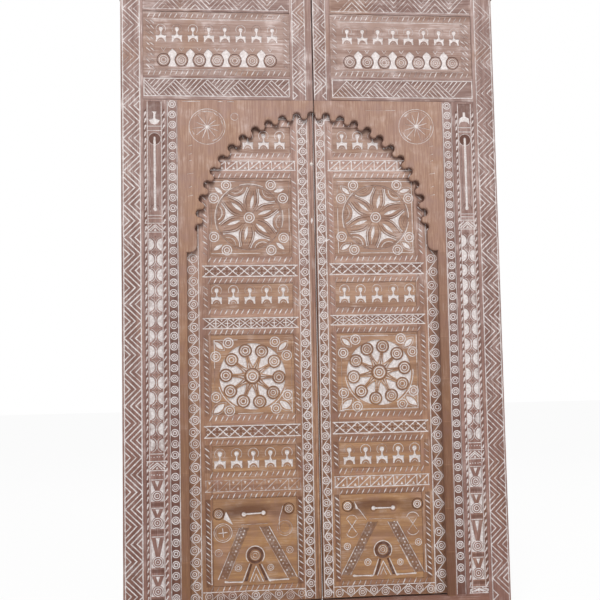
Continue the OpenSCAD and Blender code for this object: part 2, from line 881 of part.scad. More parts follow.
spokes = 10;
spoke_ring_r = 26;
spoke_ring_at = 107;
wheel_hub_r = 46;
wheel_turn = [-3, 9];
module wheel_panel(side, i)
    wicket_panel(side, i) {
        same_way(side) difference() {
            circle(r = medallion_r);
            circle(r = wheel_hub_r);
            for (k = [0:spokes - 1])
                rotate(k * 36 + wheel_turn[side < 0 ? 0 : 1]) {
                    translate([spoke_ring_at, 0]) circle(r = spoke_ring_r);
                    translate([wheel_hub_r - 5, -7]) square([45, 14]);
                }
        }
        union() {
            corner_rings();
            ring(wheel_hub_r - 20);
            same_way(side)
                for (k = [0:spokes - 1])
                    rotate(k * 36 + wheel_turn[side < 0 ? 0 : 1])
                        translate([spoke_ring_at, 0]) ring(spoke_ring_r - 7);
        }
    }

// Two slanting bars, a disc on its legs between them, a dumbbell above and a baseline in two parts
disc_drop = 53;
module compass_panel(side, i)
    wicket_panel(side, i) {
        union() {
            for (s = [-1, 1]) {
                translate([s * 41, 110]) circle(r = 8);
                mirror([s < 0 ? 1 : 0, 0]) {
                    polygon([[9, -96], [21, -90], [48, -153], [33, -153]]);
                    translate([56, -157]) square([70, 6]);
                }
            }
            translate([-41, 107]) square([82, 6]);
        }
        union() {
            for (s = [-1, 1]) {
                mirror([s < 0 ? 1 : 0, 0])
                    polygon([[25.5, 49], [55.5, 65], [163, -142], [133, -158]]);
                translate([s * 142, 118]) ring(corner_ring_r);
                translate([s * 127, 43]) ring(spoke_ring_r);
            }
            translate([0, -disc_drop]) {
                ring(36);
                ring(19);
            }
        }
    }

// Bead that covers the meeting edge, with a rounded front
module wicket_astragal()
    color(wood) half(-1) difference() {
        union() {
            slab(stile_u - astragal_w, stile_u, wicket_z, wicket_top_z, wicket_d + 2, gate_t);
            intersection() {
                slab(stile_u - astragal_w, stile_u, wicket_z, wicket_top_z, wicket_d, wicket_d + 4);
                round_bar(stile_u - astragal_w / 2, wicket_d + 22, wicket_z, wicket_top_z, 22);
            }
        }
        stud_shank(fit / 2);
    }

stud_z = 1862;
stud_r = 7;
module stud_shank(play)
    translate([stile_u - astragal_w / 2, at(wicket_d) - eps, stud_z]) rotate([-90, 0, 0])
        cylinder(r = 2.5 + play, h = 20 + eps + play);

module wicket_stud()
    color(iron) half(-1) {
        stud_shank(0);
        translate([stile_u - astragal_w / 2, at(wicket_d) - 0.1, stud_z]) rotate([90, 0, 0])
            intersection() {
                translate([0, 0, -6]) sphere(r = 9.2);
                cylinder(r = stud_r, h = 5);
            }
    }

frame_head();
frame_sill();
frame_jamb(-1);  // frame_jamb_left
frame_jamb(1);  // frame_jamb_right
frame_pegs();
gate_heel_stile(-1);  // gate_left_heel_stile
gate_top_rail(-1);  // gate_left_top_rail
gate_meeting_stile(-1);  // gate_left_meeting_stile
gate_transom_panel(-1);  // gate_left_transom_panel
gate_herringbone_rail(-1);  // gate_left_herringbone_rail
gate_arch_board(-1);  // gate_left_arch_board
gate_post(-1);  // gate_left_post
gate_side_panel(-1);  // gate_left_side_panel
gate_bottom_rail(-1);  // gate_left_bottom_rail
gate_pegs(-1);  // gate_left_pegs
gate_heel_stile(1);  // gate_right_heel_stile
gate_top_rail(1);  // gate_right_top_rail
gate_meeting_stile(1);  // gate_right_meeting_stile
gate_transom_panel(1);  // gate_right_transom_panel
gate_herringbone_rail(1);  // gate_right_herringbone_rail
gate_arch_board(1);  // gate_right_arch_board
gate_post(1);  // gate_right_post
gate_side_panel(1);  // gate_right_side_panel
gate_bottom_rail(1);  // gate_right_bottom_rail
gate_pegs(1);  // gate_right_pegs
wicket_heel_stile(-1);  // wicket_left_heel_stile
wicket_meeting_stile(-1);  // wicket_left_meeting_stile
wicket_rail(-1, 0);  // wicket_left_bottom_rail
compass_panel(-1, 1);  // wicket_left_compass_panel
square_band(-1, 2);  // wicket_left_band_1
figure_panel(-1, 3);  // wicket_left_figures_low
cross_band(-1, 4);  // wicket_left_band_2
wheel_panel(-1, 5);  // wicket_left_wheel_panel
cross_band(-1, 6);  // wicket_left_band_3
figure_panel(-1, 7);  // wicket_left_figures_mid
cross_band(-1, 8);  // wicket_left_band_4
rosette_panel(-1, 9);  // wicket_left_rosette_panel
square_band(-1, 10);  // wicket_left_band_5
figure_panel(-1, 11);  // wicket_left_figures_high
wicket_rail(-1, 12);  // wicket_left_top_rail
wicket_pegs(-1);  // wicket_left_pegs
wicket_astragal();  // wicket_left_astragal
wicket_stud();  // wicket_left_stud
wicket_heel_stile(1);  // wicket_right_heel_stile
wicket_meeting_stile(1);  // wicket_right_meeting_stile
wicket_rail(1, 0);  // wicket_right_bottom_rail
compass_panel(1, 1);  // wicket_right_compass_panel
square_band(1, 2);  // wicket_right_band_1
figure_panel(1, 3);  // wicket_right_figures_low
cross_band(1, 4);  // wicket_right_band_2
wheel_panel(1, 5);  // wicket_right_wheel_panel
cross_band(1, 6);  // wicket_right_band_3
figure_panel(1, 7);  // wicket_right_figures_mid
cross_band(1, 8);  // wicket_right_band_4
rosette_panel(1, 9);  // wicket_right_rosette_panel
square_band(1, 10);  // wicket_right_band_5
figure_panel(1, 11);  // wicket_right_figures_high
wicket_rail(1, 12);  // wicket_right_top_rail
wicket_pegs(1);  // wicket_right_pegs
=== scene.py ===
"""Looks of the carved double gate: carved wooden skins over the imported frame, materials, light, camera."""
import math
import random

import bpy
import numpy as np
from mathutils import Matrix, Vector
from mathutils.geometry import delaunay_2d_cdt


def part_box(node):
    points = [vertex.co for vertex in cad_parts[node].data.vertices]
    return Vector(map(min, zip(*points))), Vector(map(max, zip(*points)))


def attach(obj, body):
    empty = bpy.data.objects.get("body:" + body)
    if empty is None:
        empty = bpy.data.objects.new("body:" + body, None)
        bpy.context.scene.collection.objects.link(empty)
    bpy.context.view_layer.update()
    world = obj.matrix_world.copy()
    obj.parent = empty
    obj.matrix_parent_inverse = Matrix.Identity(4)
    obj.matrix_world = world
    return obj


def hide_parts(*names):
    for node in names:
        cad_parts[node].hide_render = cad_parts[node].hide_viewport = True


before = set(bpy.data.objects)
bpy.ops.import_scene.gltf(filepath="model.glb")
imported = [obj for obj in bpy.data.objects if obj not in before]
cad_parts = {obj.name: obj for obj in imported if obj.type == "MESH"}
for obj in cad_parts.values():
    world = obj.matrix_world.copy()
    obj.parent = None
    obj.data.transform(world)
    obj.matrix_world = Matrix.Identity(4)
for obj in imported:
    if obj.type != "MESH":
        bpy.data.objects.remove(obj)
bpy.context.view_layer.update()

# Lengths are in mm: x and z as seen from the front, depth behind the gate's front face.
# A side s is -1 for the left leaf and 1 for the right one.
SIDE = {-1: "left", 1: "right"}
RAILS = ("bottom_rail", "band_1", "band_2", "band_3", "band_4", "band_5", "top_rail")
FRONT = 69.0
GATE_BACK, BOARD_BACK, TONGUE_FRONT = 60, 22, 22.4
TRANSOM_DEPTHS, WICKET_PANEL_DEPTHS = (5, 25), (28, 44)
WICKET_FRONT = 24
LEAF_LOW, LEAF_TOP = 36, 2572
BAY_LOW, BAY_TOP = 96, 2121
LAP_TOP = 2109
TRANSOM_LOW, TRANSOM_TOP = 2221, 2490
WICKET_LOW, WICKET_TOP = 102, 2105
MEETING_EDGE = {-1: -7.0, 1: 11.0}
STILE_IN, HEEL_IN = 84, 684
BOARD_IN, BOARD_OUT = 515.0, 547.0
LEG_TOP = 1497.0
RAIL_IN, RAIL_OUT = 88, 424
# Heels: outer edge, pivot's axis in width and depth, and the pivot's radius
GATE_EDGE, GATE_AXIS, GATE_AXIS_DEPTH, GATE_PIVOT = 774, 744, 30, 14
WICKET_EDGE, WICKET_AXIS, WICKET_AXIS_DEPTH, WICKET_PIVOT = 544.2, 540, 42, 10
# Angles of the dashes in level and in upright ropes
LEVEL_LEAN, UPRIGHT_LEAN = 62, -42
RND = random.Random(7)


def levels_of(node):
    low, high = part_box(node)
    return low.z * 1000, high.z * 1000


def wobble(size):
    return RND.uniform(-size, size)


# Geometry of lines and outlines, in numpy
def near(points, line, closed=False):
    """Distance from each point to a polyline, with the nearest piece of it and the share along it."""
    line = np.asarray(line, float)
    start = line if closed else line[:-1]
    end = np.roll(line, -1, axis=0) if closed else line[1:]
    run = end - start
    length2 = np.maximum((run ** 2).sum(1), 1e-9)
    rel = points[:, None, :] - start[None]
    share = np.clip((rel * run[None]).sum(2) / length2[None], 0, 1)
    gap = np.hypot(*np.moveaxis(rel - share[..., None] * run[None], 2, 0))
    best = gap.argmin(1)
    rows = np.arange(len(points))
    return gap[rows, best], best, share[rows, best]


def inside(points, outline):
    found = np.zeros(len(points), bool)
    x, z = points[:, 0], points[:, 1]
    outline = np.asarray(outline, float)
    for (x0, z0), (x1, z1) in zip(outline, np.roll(outline, -1, axis=0)):
        if z0 == z1:
            continue
        crosses = (z0 > z) != (z1 > z)
        found ^= crosses & (x < x0 + (z - z0) * (x1 - x0) / (z1 - z0))
    return found


def beside(line, gap, closed=False):
    """The polyline moved to its left by gap, with mitred corners."""
    line = np.asarray(line, float)
    run = np.diff(np.vstack([line, line[:1]]) if closed else line, axis=0)
    run = run / np.maximum(np.hypot(run[:, 0], run[:, 1]), 1e-9)[:, None]
    left = np.stack([-run[:, 1], run[:, 0]], 1)
    if closed:
        normal = left + np.roll(left, 1, axis=0)
    else:
        normal = np.vstack([left[:1], left]) + np.vstack([left, left[-1:]])
    size = np.maximum((normal ** 2).sum(1), 0.7)
    return line + normal * (np.broadcast_to(gap, len(line)) * 2 / size)[:, None]


def around(x, z, r, turns):
    """Points on a circle at the given angles in radians."""
    return np.stack([x + r * np.cos(turns), z + r * np.sin(turns)], 1)


def circle(x, z, r, count, start=0.0):
    return around(x, z, r, start + np.arange(count) * 2 * math.pi / count)


def lens(x, z, length, width, angle, count=8, sharp=1.0):
    """Almond outline with its long axis at the angle given in degrees."""
    t = np.linspace(0, 1, count + 1)
    half = width / 2 * np.sin(math.pi * t) ** sharp
    along = (t - 0.5) * length
    loop = np.vstack([np.stack([along, half], 1), np.stack([along[::-1], -half[::-1]], 1)[1:-1]])
    a = math.radians(angle)
    turn = np.array([[math.cos(a), -math.sin(a)], [math.sin(a), math.cos(a)]])
    return loop @ turn.T + (x, z)


def polar(t):
    """Directions away from the middle and across, for an angle in radians."""
    return np.array([math.cos(t), math.sin(t)]), np.array([-math.sin(t), math.cos(t)])


def placed(points, x, z, degrees):
    """Points turned by an angle and moved to x, z."""
    out, side = polar(math.radians(degrees))
    return np.array([(x, z) + out * u + side * v for u, v in points])


def counter_clockwise(outline):
    outline = np.asarray(outline, float)
    nxt = np.roll(outline, -1, axis=0)
    area = (outline[:, 0] * nxt[:, 1] - nxt[:, 0] * outline[:, 1]).sum()
    return outline if area > 0 else outline[::-1]


class Carving:
    """Cuts in one face. Each has guide lines for the mesh, its reach, and a depth for each point there."""

    def __init__(self):
        self.cuts = []

    def add(self, lines, depth_at, paint, dirt, most):
        cloud = np.vstack([line for line, closed in lines])
        self.cuts.append((lines, (*cloud.min(0), *cloud.max(0)), depth_at, paint, dirt, most))

    def stroke(self, line, width=5.5, depth=1.8, paint=1.0, dirt=0.3, closed=False):
        """V-shaped groove along a line, tapered where widths are given for each point."""
        line = np.asarray(line, float)
        half = np.broadcast_to(np.asarray(width, float) / 2, len(line)).copy()

        def depth_at(p):
            gap, piece, share = near(p, line, closed)
            reach = half[piece] * (1 - share) + half[(piece + 1) % len(line)] * share
            return depth * np.clip(1 - gap / np.maximum(reach, 0.2), 0, 1)

        if closed:
            lines = [(line, True), (beside(line, half, True), True), (beside(line, -half, True), True)]
        else:
            first = (line[0] - line[1]) / max(np.hypot(*(line[0] - line[1])), 1e-6)
            last = (line[-1] - line[-2]) / max(np.hypot(*(line[-1] - line[-2])), 1e-6)
            rim = np.vstack([beside(line, half), (line[-1] + last * (half[-1] + 0.05))[None],
                             beside(line, -half)[::-1], (line[0] + first * (half[0] + 0.05))[None]])
            lines = [(line, False), (rim, True)]
        self.add(lines, depth_at, paint, dirt, depth)

    def ring(self, x, z, r, width=4.0, depth=1.6, paint=1.0, dirt=0.3, arc=None):
        count = max(12, int(r * 0.55) + 10)
        if arc is not None:
            self.stroke(around(x, z, r, np.radians(np.linspace(*arc, count))), width, depth, paint, dirt)
            return
        phase = RND.uniform(0, 1)

        def depth_at(p):
            return depth * np.clip(1 - np.abs(np.hypot(p[:, 0] - x, p[:, 1] - z) - r) * 2 / width, 0, 1)

        self.add([(circle(x, z, r + k * width / 2, count, phase), True) for k in (-1, 0, 1)],
                 depth_at, paint, dirt, depth)

    def dot(self, x, z, r, depth=1.8, paint=1.0, dirt=0.3, count=9):
        def depth_at(p):
            return depth * np.clip(1.25 - np.hypot(p[:, 0] - x, p[:, 1] - z) * 1.25 / r, 0, 1)

        phase = RND.uniform(0, 1)
        self.add([(circle(x, z, r, count, phase), True), (circle(x, z, r * 0.2, 5, phase), True)],
                 depth_at, paint, dirt, depth)

    def rings(self, x, z, radii, width=4.0, depth=1.6, paint=1.0, dot=2.6, dirt=0.35):
        """Concentric rings round a pit, as a compass-drawn roundel is cut."""
        x, z = x + wobble(0.6), z + wobble(0.6)
        for r in radii:
            self.ring(x, z, r, width, depth, paint * RND.uniform(0.8, 1.05), dirt)
        if dot:
            self.dot(x, z, dot, depth, paint * RND.choice((0.2, 1.0, 1.0)), 0.9)

    def pocket(self, outline, islands=(), depth=3.0, wall=1.5, paint=0.9, dirt=0.2):
        """Flat-bottomed ground, with islands left standing in it."""
        outline = counter_clockwise(outline)
        islands = [counter_clockwise(i) for i in islands]

        def depth_at(p):
            into = near(p, outline, True)[0]
            into[~inside(p, outline)] = 0
            for island in islands:
                out = near(p, island, True)[0]
                out[inside(p, island)] = 0
                into = np.minimum(into, out)
            return depth * np.clip(into / wall, 0, 1)

        lines = [(outline, True), (beside(outline, wall, True), True)]
        for island in islands:
            lines += [(island, True), (beside(island, -wall, True), True)]
        self.add(lines, depth_at, paint, dirt, depth)

    def sunk(self, x0, x1, z0, z1, depth, dirt, wall=1.5, paint=0.0):
        """Shallow four-cornered ground, darkened."""
        self.pocket([(x0, z0), (x1, z0), (x1, z1), (x0, z1)], depth=depth, wall=wall, paint=paint, dirt=dirt)

    def dome(self, outline, rim, depth, dirt):
        """Rounds the edge of a raised shape down, inside its outline."""
        outline = counter_clockwise(outline)

        def depth_at(p):
            into = near(p, outline, True)[0]
            share = np.clip(1 - into / rim, 0, 1)
            return np.where(inside(p, outline) | (into < 0.01), depth * share ** 2, 0)

        lines = [(beside(outline, gap, True), True) for gap in (rim / 2, rim)]
        self.add([(outline, True)] + lines, depth_at, 0, dirt, depth)


def undulation(points, seed):
    """Low waves of a hand-planed face, from 0 to about 1."""
    r = random.Random(seed)
    total = np.zeros(len(points))
    for _ in range(5):
        a, w = r.uniform(0, 6.3), r.uniform(0.008, 0.03)
        total += np.sin(points[:, 0] * w * math.cos(a) + points[:, 1] * w * math.sin(a) + r.uniform(0, 6.3))
    return 0.5 + total / 10


def warmth(p):
    """Share of ochre by height: the wood is richer low down, where hands and weather reach it less."""
    return np.interp(p[:, 1], [100, 560, 1150, 1500, 2100], [0.75, 0.6, 0.4, 0.25, 0.12])


def split_line(a, b, step=38.0, play=0.25):
    """Points from a up to b, a little off the straight as a planed edge is."""
    count = max(1, int(math.hypot(b[0] - a[0], b[1] - a[1]) / step))
    run = np.array(b, float) - a
    across = np.array([-run[1], run[0]]) / max(np.hypot(*run), 1e-9)
    return [np.array(a) + run * k / count + across * (wobble(play) if k else 0) for k in range(count)]


SHARP_ANGLE = math.radians(28)


def mesh_object(name, parts, body, material):
    """One object from the parts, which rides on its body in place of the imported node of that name."""
    verts, faces, marks = join(*parts)
    mesh = bpy.data.meshes.new(name + "_wood")
    place = np.stack([verts[:, 0], verts[:, 1] - FRONT, verts[:, 2]], 1) / 1000
    mesh.from_pydata(place.tolist(), [], faces)
    mesh.validate()
    for key, values in marks.items():
        attribute = mesh.attributes.new(key, "FLOAT", "POINT")
        attribute.data.foreach_set("value", np.asarray(values, np.float32))
    mesh.shade_smooth()
    mesh.set_sharp_from_angle(angle=SHARP_ANGLE)
    mesh.materials.append(material)
    obj = bpy.data.objects.new(name + "_wood", mesh)
    bpy.context.scene.collection.objects.link(obj)
    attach(obj, body)
    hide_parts(name)


def skin(outline, front, back, carving, guides, edge_rule, grid=15.0, waves=0.8, seed=1, warm=None,
         walls=None, wall_dirt=0.0):
    """Closed solid from an outline, with a carved front. Returns its vertices, faces and marks."""
    outline = counter_clockwise(outline)
    low, high = outline.min(0), outline.max(0)
    points, links = [], []

    def put(line, closed):
        start = len(points)
        points.extend(line)
        last = len(line) if closed else len(line) - 1
        links.extend((start + i, start + (i + 1) % len(line)) for i in range(last))

    put(outline, True)
    used = []
    for cut in (carving.cuts if carving else []):
        reach = cut[1]
        if reach[2] < low[0] or reach[0] > high[0] or reach[3] < low[1] or reach[1] > high[1]:
            continue
        used.append(cut)
        for line, closed in cut[0]:
            # A long level or upright line ends just past the piece
            if len(line) == 2 and (line[0] == line[1]).any():
                line = np.clip(line, low - 2, high + 2)
            put(line, closed)
    for line in guides:
        put(line, False)
    r = random.Random(seed)
    nx, nz = int((high[0] - low[0]) / grid) + 1, int((high[1] - low[1]) / grid) + 1
    for i in range(nx):
        for k in range(nz):
            points.append((low[0] + (i + 0.5 + r.uniform(-0.3, 0.3)) * grid,
                           low[1] + (k + 0.5 + r.uniform(-0.3, 0.3)) * grid))
    made = delaunay_2d_cdt([Vector(p) for p in points], links, [], 0, 1e-3, False)
    flat = np.array([tuple(v) for v in made[0]])
    tris = np.array([f for f in made[2] if len(f) == 3])
    tris = tris[inside(flat[tris].mean(1), outline)]
    corners = flat[tris]
    side_a, side_b = corners[:, 1] - corners[:, 0], corners[:, 2] - corners[:, 0]
    turn = side_a[:, 0] * side_b[:, 1] - side_a[:, 1] * side_b[:, 0]
    tris, turn = tris[np.abs(turn) > 1e-7], turn[np.abs(turn) > 1e-7]
    tris[turn < 0] = tris[turn < 0][:, ::-1]
    kept_ids, tris = np.unique(tris, return_inverse=True)
    tris = tris.reshape(-1, 3)
    flat = flat[kept_ids]
    count = len(flat)

    # Each cut darkens more where it is deeper: grime in the hollows, and painted shade there
    depth, paint, dirt = np.zeros(count), np.zeros(count), np.zeros(count)
    for lines, reach, depth_at, colour, grime_and_shade, most in used:
        rows = np.nonzero((flat[:, 0] > reach[0] - 0.1) & (flat[:, 0] < reach[2] + 0.1)
                          & (flat[:, 1] > reach[1] - 0.1) & (flat[:, 1] < reach[3] + 0.1))[0]
        if not len(rows):
            continue
        here = depth_at(flat[rows])
        share = here / most
        depth[rows] = np.maximum(depth[rows], here)
        paint[rows] = np.maximum(paint[rows], share * colour)
        dirt[rows] = np.maximum(dirt[rows], share * grime_and_shade)
    top = front + undulation(flat, seed) * waves + depth + edge_rule(flat)

    # Walls go back from the rim, level by level
    edges = dict.fromkeys(e for a, b, c in tris for e in ((a, b), (b, c), (c, a)))
    rim = [(a, b) for a, b in edges if (b, a) not in edges]
    rim_ids = sorted({i for e in rim for i in e})
    place_of = {v: i for i, v in enumerate(rim_ids)}
    rim_flat = flat[rim_ids]
    drawn_in = lambda line: line + (low / 2 + high / 2 - line) * 0.002
    if walls:
        levels = walls(rim_flat)
        last_loop = levels[-1][0][[place_of[v] for v in loop_order(rim)]]
    else:
        levels = [(rim_flat, np.full(len(rim_flat), back - 1.2)),
                  (drawn_in(rim_flat), np.full(len(rim_flat), back))]
        last_loop = drawn_in(outline)
    verts = [np.stack([flat[:, 0], top, flat[:, 1]], 1)]
    faces = [tuple(int(i) for i in t) for t in tris]
    upper = {v: v for v in rim_ids}
    total = count
    for place, level in levels:
        level = np.maximum(level, top[rim_ids] + 0.05)
        verts.append(np.stack([place[:, 0], level, place[:, 1]], 1))
        lower = {v: total + place_of[v] for v in rim_ids}
        for a, b in rim:
            faces.append((upper[b], upper[a], lower[a], lower[b]))
        upper = lower
        total += len(rim_ids)

    # Flat back over the last level
    last_flat = levels[-1][0]
    cap = delaunay_2d_cdt([Vector(p) for p in last_flat], [(place_of[a], place_of[b]) for a, b in rim], [],
                          0, 1e-6, True)
    cap_flat = np.array([tuple(v) for v in cap[0]])
    same = [ids[0] if ids else None for ids in cap[3]]
    cap_tris = np.array([f for f in cap[2] if len(f) == 3])
    good = inside(cap_flat[cap_tris].mean(1), last_loop)
    base = total - len(rim_ids)
    for tri in cap_tris[good]:
        if any(same[i] is None for i in tri):
            continue
        a, b, c = (cap_flat[i] for i in tri)
        ids = [base + same[i] for i in tri]
        if (b[0] - a[0]) * (c[1] - a[1]) - (b[1] - a[1]) * (c[0] - a[0]) > 0:
            ids = ids[::-1]
        faces.append(tuple(ids))
    verts = np.vstack(verts)
    zeros = np.zeros(len(verts) - count)
    # Walls get painted shade, darkest by the gap between the leaves and under the arch's edge; the back level
    # gets only a little
    wall = zeros + wall_dirt
    wall[-len(rim_ids):] = min(wall_dirt, 0.15)
    marks = {
        "paint": np.concatenate([paint, zeros]),
        "dirt": np.concatenate([dirt, wall]),
        "warm": np.concatenate([warm(flat) if warm else np.zeros(count), zeros]),
        "tone": np.full(len(verts), random.Random(seed * 31 + 5).random()),
    }
    return verts, faces, marks


def loop_order(rim):
    """The rim's vertices in order, from its loose edges."""
    nxt = dict(rim)
    order, here = [rim[0][0]], rim[0][1]
    while here != order[0] and len(order) <= len(nxt):
        order.append(here)
        here = nxt[here]
    return order


def round_post(x, depth, z0, z1, r, count=20):
    """Turned pivot, with a small chamfer at its free end."""
    verts, faces = [], []
    rows = [(z0, r - 1.2), (z0 + 1.5, r), (z1 - 1.5, r), (z1, r - 1.2)]
    for z, size in rows:
        for i in range(count):
            a = 2 * math.pi * i / count
            verts.append((x + size * math.cos(a), depth + size * math.sin(a), z))
    for row in range(len(rows) - 1):
        for i in range(count):
            a, b = row * count + i, row * count + (i + 1) % count
            faces.append((a, b, b + count, a + count))
    faces.append(tuple(reversed(range(count))))
    faces.append(tuple(range((len(rows) - 1) * count, len(rows) * count)))
    return np.array(verts), faces, {}


def join(*parts):
    verts, faces, marks, total = [], [], {"paint": [], "dirt": [], "warm": [], "tone": []}, 0
    for v, f, m in parts:
        verts.append(v)
        faces += [tuple(i + total for i in face) for face in f]
        for key in marks:
            marks[key].append(m[key] if key in m else np.full(len(v), 0.5 if key == "tone" else 0.0))
        total += len(v)
    return np.vstack(verts), faces, {k: np.concatenate(v) for k, v in marks.items()}


def worn_box(x0, x1, z0, z1, front, back, carving, wear, **kw):
    """Rectangular member with worn front edges: left, right, bottom, top."""
    gap = 0.2
    x0, x1, z0, z1 = x0 + gap, x1 - gap, z0 + gap, z1 - gap
    corners = [(x0, z0), (x1, z0), (x1, z1), (x0, z1)]
    outline = np.array([p for a, b in zip(corners, corners[1:] + corners[:1]) for p in split_line(a, b)])
    reach = [1.2 + 1.1 * w for w in wear]
    guides = [[(x, z0), (x, z1)] for x in (x0 + reach[0], x1 - reach[1])]
    guides += [[(x0, z), (x1, z)] for z in (z0 + reach[2], z1 - reach[3])]

    def edge_rule(p):
        gaps = (p[:, 0] - x0, x1 - p[:, 0], p[:, 1] - z0, z1 - p[:, 1])
        return np.maximum.reduce([w * np.clip(1 - g / r, 0, 1) for w, g, r in zip(wear, gaps, reach)])

    return skin(outline, front, back, carving, [np.array(g, float) for g in guides], edge_rule, **kw)


# Motifs of the carving
def rope(c, a, b, paint, ground=0.12):
    """Row of slanted dashes from a to b, in a slightly sunk strip."""
    pitch, length, fade = 22.5, 25.0, 0.55
    lean = LEVEL_LEAN if a[1] == b[1] else UPRIGHT_LEAN
    run = np.array(b, float) - a
    size = np.hypot(*run)
    across = np.array([-run[1], run[0]]) / size * 11
    end = run / size * 8
    c.pocket([a - end - across, b + end - across, b + end + across, a - end + across], depth=0.5, wall=2.0,
             paint=0.0, dirt=ground)
    count = max(1, round(size / pitch))
    for k in range(count):
        mid = np.array(a) + run * (k + 0.5) / count + (wobble(1.2), wobble(1.2))
        half = polar(math.radians(lean + wobble(6)))[0] * length / 2 * RND.uniform(0.85, 1.1)
        white = paint * RND.uniform(1 - fade, 1.05)
        c.stroke([mid - half, mid, mid + half], (1.6, 7.5, 3.0), 2.2 * RND.uniform(0.8, 1.1), white, 0.8)


def line(c, a, b, width=5.0, depth=1.5, paint=0.9, dirt=0.3):
    c.stroke([a, b], width, depth, paint, dirt)


def chain(c, path, width, depth, paint, low=1.0, high=1.0):
    """Lines from each point of a path to the next, each a little weaker or stronger."""
    for a, b in zip(path, path[1:]):
        line(c, a, b, width, depth, paint if low == high else paint * RND.uniform(low, high))


def triangle(c, x, z, w, h, depth=1.6, paint=0.9):
    """Chip-cut triangle; the sign of h says which way its apex points from the base at z."""
    c.pocket([(x - w / 2, z), (x + w / 2, z), (x, z + h)], depth=depth, wall=1.4, paint=paint, dirt=0.2)


def cross_band(c, x0, x1, z0, z1, crosses, cells=8, paint=0.95):
    """Band of saltires between two white lines, with barbed or crossed diamonds between them."""
    c.sunk(x0, x1, z0 + 2, z1 - 2, 0.8, 0.45)
    for z in (z0, z1):
        line(c, (x0 - 4, z), (x1 + 4, z), 6.0, 2.0, paint)
    step, mid = (x1 - x0) / cells, (z0 + z1) / 2
    half = (z1 - z0) / 2
    fades = [RND.uniform(0.62, 1.0) for _ in range(cells + 1)]
    for k in range(cells):
        a = x0 + k * step
        white = paint * fades[k]
        for from_z, to_z in ((z0 + 2, z1 - 2), (z1 - 2, z0 + 2)):
            line(c, (a + wobble(1), from_z), (a + step + wobble(1), to_z), 5.6, 2.2, white)
        if crosses:
            triangle(c, a + step / 2, z1 - 3, 14, -9, 1.8, white)
            triangle(c, a + step / 2, z0 + 3, 14, 9, 1.8, white)
            if k:
                line(c, (a, mid - half * 0.6), (a, mid + half * 0.6), 6.0, 2.2, white)
                line(c, (a - step * 0.22, mid), (a + step * 0.22, mid), 6.0, 2.2, white)
                c.dot(a, mid, 5.0, 2.2, white)
            continue
        for b, turn in ((a, 1), (a + step, -1)):
            for sz in (-1, 1):
                at = (b + turn * step * 0.27, mid + sz * half * 0.50)
                to = (b + turn * step * 0.08, mid + sz * half * 0.20)
                line(c, at, to, (8.5, 1.0), 2.0, white)
        if k:
            c.pocket(circle(a, mid, 4.5, 8), depth=2.0, wall=1.6, paint=0, dirt=0.7)


def square_band(c, x0, x1, z0, z1, paint, deep=1.0, cells=8):
    """Band of squares, each with a diagonal and two chip-cut triangles."""
    line(c, (x0 - 3, z0), (x1 + 3, z0), 5.5, 2.0 * deep, paint)
    line(c, (x0 - 3, z1), (x1 + 3, z1), 5.0, 1.6 * deep, paint * 0.8)
    step = (x1 - x0) / cells
    for k in range(cells):
        a = x0 + k * step
        white = paint * RND.uniform(0.65, 1.05)
        line(c, (a + 3, z0 + 3), (a + step - 3, z1 - 3), 6.4, 2.0 * deep, white)
        triangle(c, a + step * 0.3, z1 - 4, 14, -14, 1.8 * deep, white)
        triangle(c, a + step * 0.7, z0 + 4, 14, 14, 1.8 * deep, white)
    for k in range(cells + 1):
        line(c, (x0 + k * step, z0), (x0 + k * step, z1), 5.6, 1.7 * deep, paint * RND.uniform(0.6, 1.0))


def figure(c, x, z, size, paint, halo):
    """Small chess-like figure: arched foot, stem and head. z is its foot."""
    w = 23.5 * size
    foot = [(-w, 0), (-16 * size, 0)]
    for k in range(1, 8):
        a = math.pi - math.pi * k / 8
        foot.append((16 * size * math.cos(a), 18 * size * math.sin(a)))
    foot += [(16 * size, 0), (w, 0)]
    stem = ((8, 30), (3.4, 36), (3.2, 46), (8.5, 54), (9.5, 62), (5, 68))
    flank = [(w - 1, 17 * size), (w + 1, 31 * size)] + [(u * size, v * size) for u, v in stem]
    foot += flank + [(-u, v) for u, v in flank[::-1]]
    c.pocket([(x + u + wobble(0.5), z + v + wobble(0.5)) for u, v in foot], depth=3.4, wall=1.7, paint=paint,
             dirt=0.4)
    c.ring(x, z + 58 * size, 21 * size, 3.6, 1.2, halo, 0.5, arc=(-35 + wobble(10), 215 + wobble(10)))
    c.ring(x, z + 1, 9.5 * size, 3.4, 1.0, halo * 0.8, 0.4, arc=(8, 172))


def ring_strip(c, x, x0, x1, z0, z1, r, inner, pitch, swing, paint, shade=1.0):
    """Strip of roundels with a line that winds between them, inside two border lines. Bolder low down."""
    grime_and_shade = lambda z: min(max(1.15 - z / 2600, 0.4), 1.1) * shade
    for k in range(5):
        a, b = z0 + (z1 - z0) * k / 5, z0 + (z1 - z0) * (k + 1) / 5
        c.sunk(x0 + 1, x1 - 1, a, b, 0.7, 0.52 * grime_and_shade((a + b) / 2))
        for edge in (x0, x1):
            line(c, (edge, a), (edge, b), 5.2, 1.8, paint * RND.uniform(0.6, 0.9))
    count = int((z1 - z0 - 2 * r) / pitch) + 1
    pitch = (z1 - z0 - 2 * r - 6) / max(count - 1, 1)
    path = []
    for k in range(count):
        z = z0 + r + 3 + k * pitch
        side = 1 if k % 2 else -1
        c.rings(x + side * swing, z, (r, inner), 5.4, 1.8, paint * RND.uniform(0.72, 1.1), 2.6, 0.5)
        path.append((x0 + 2 if side > 0 else x1 - 2, z))
        tip = (x0 + 10 if side > 0 else x1 - 10, z + pitch / 2)
        foot = x0 + 3 if side > 0 else x1 - 3
        c.pocket([(foot, z + pitch * 0.28), (foot, z + pitch * 0.72), tip], depth=2.0, wall=1.5, paint=0,
                 dirt=grime_and_shade(z))
    chain(c, path, 4.8, 1.8, paint, 0.62, 0.95)


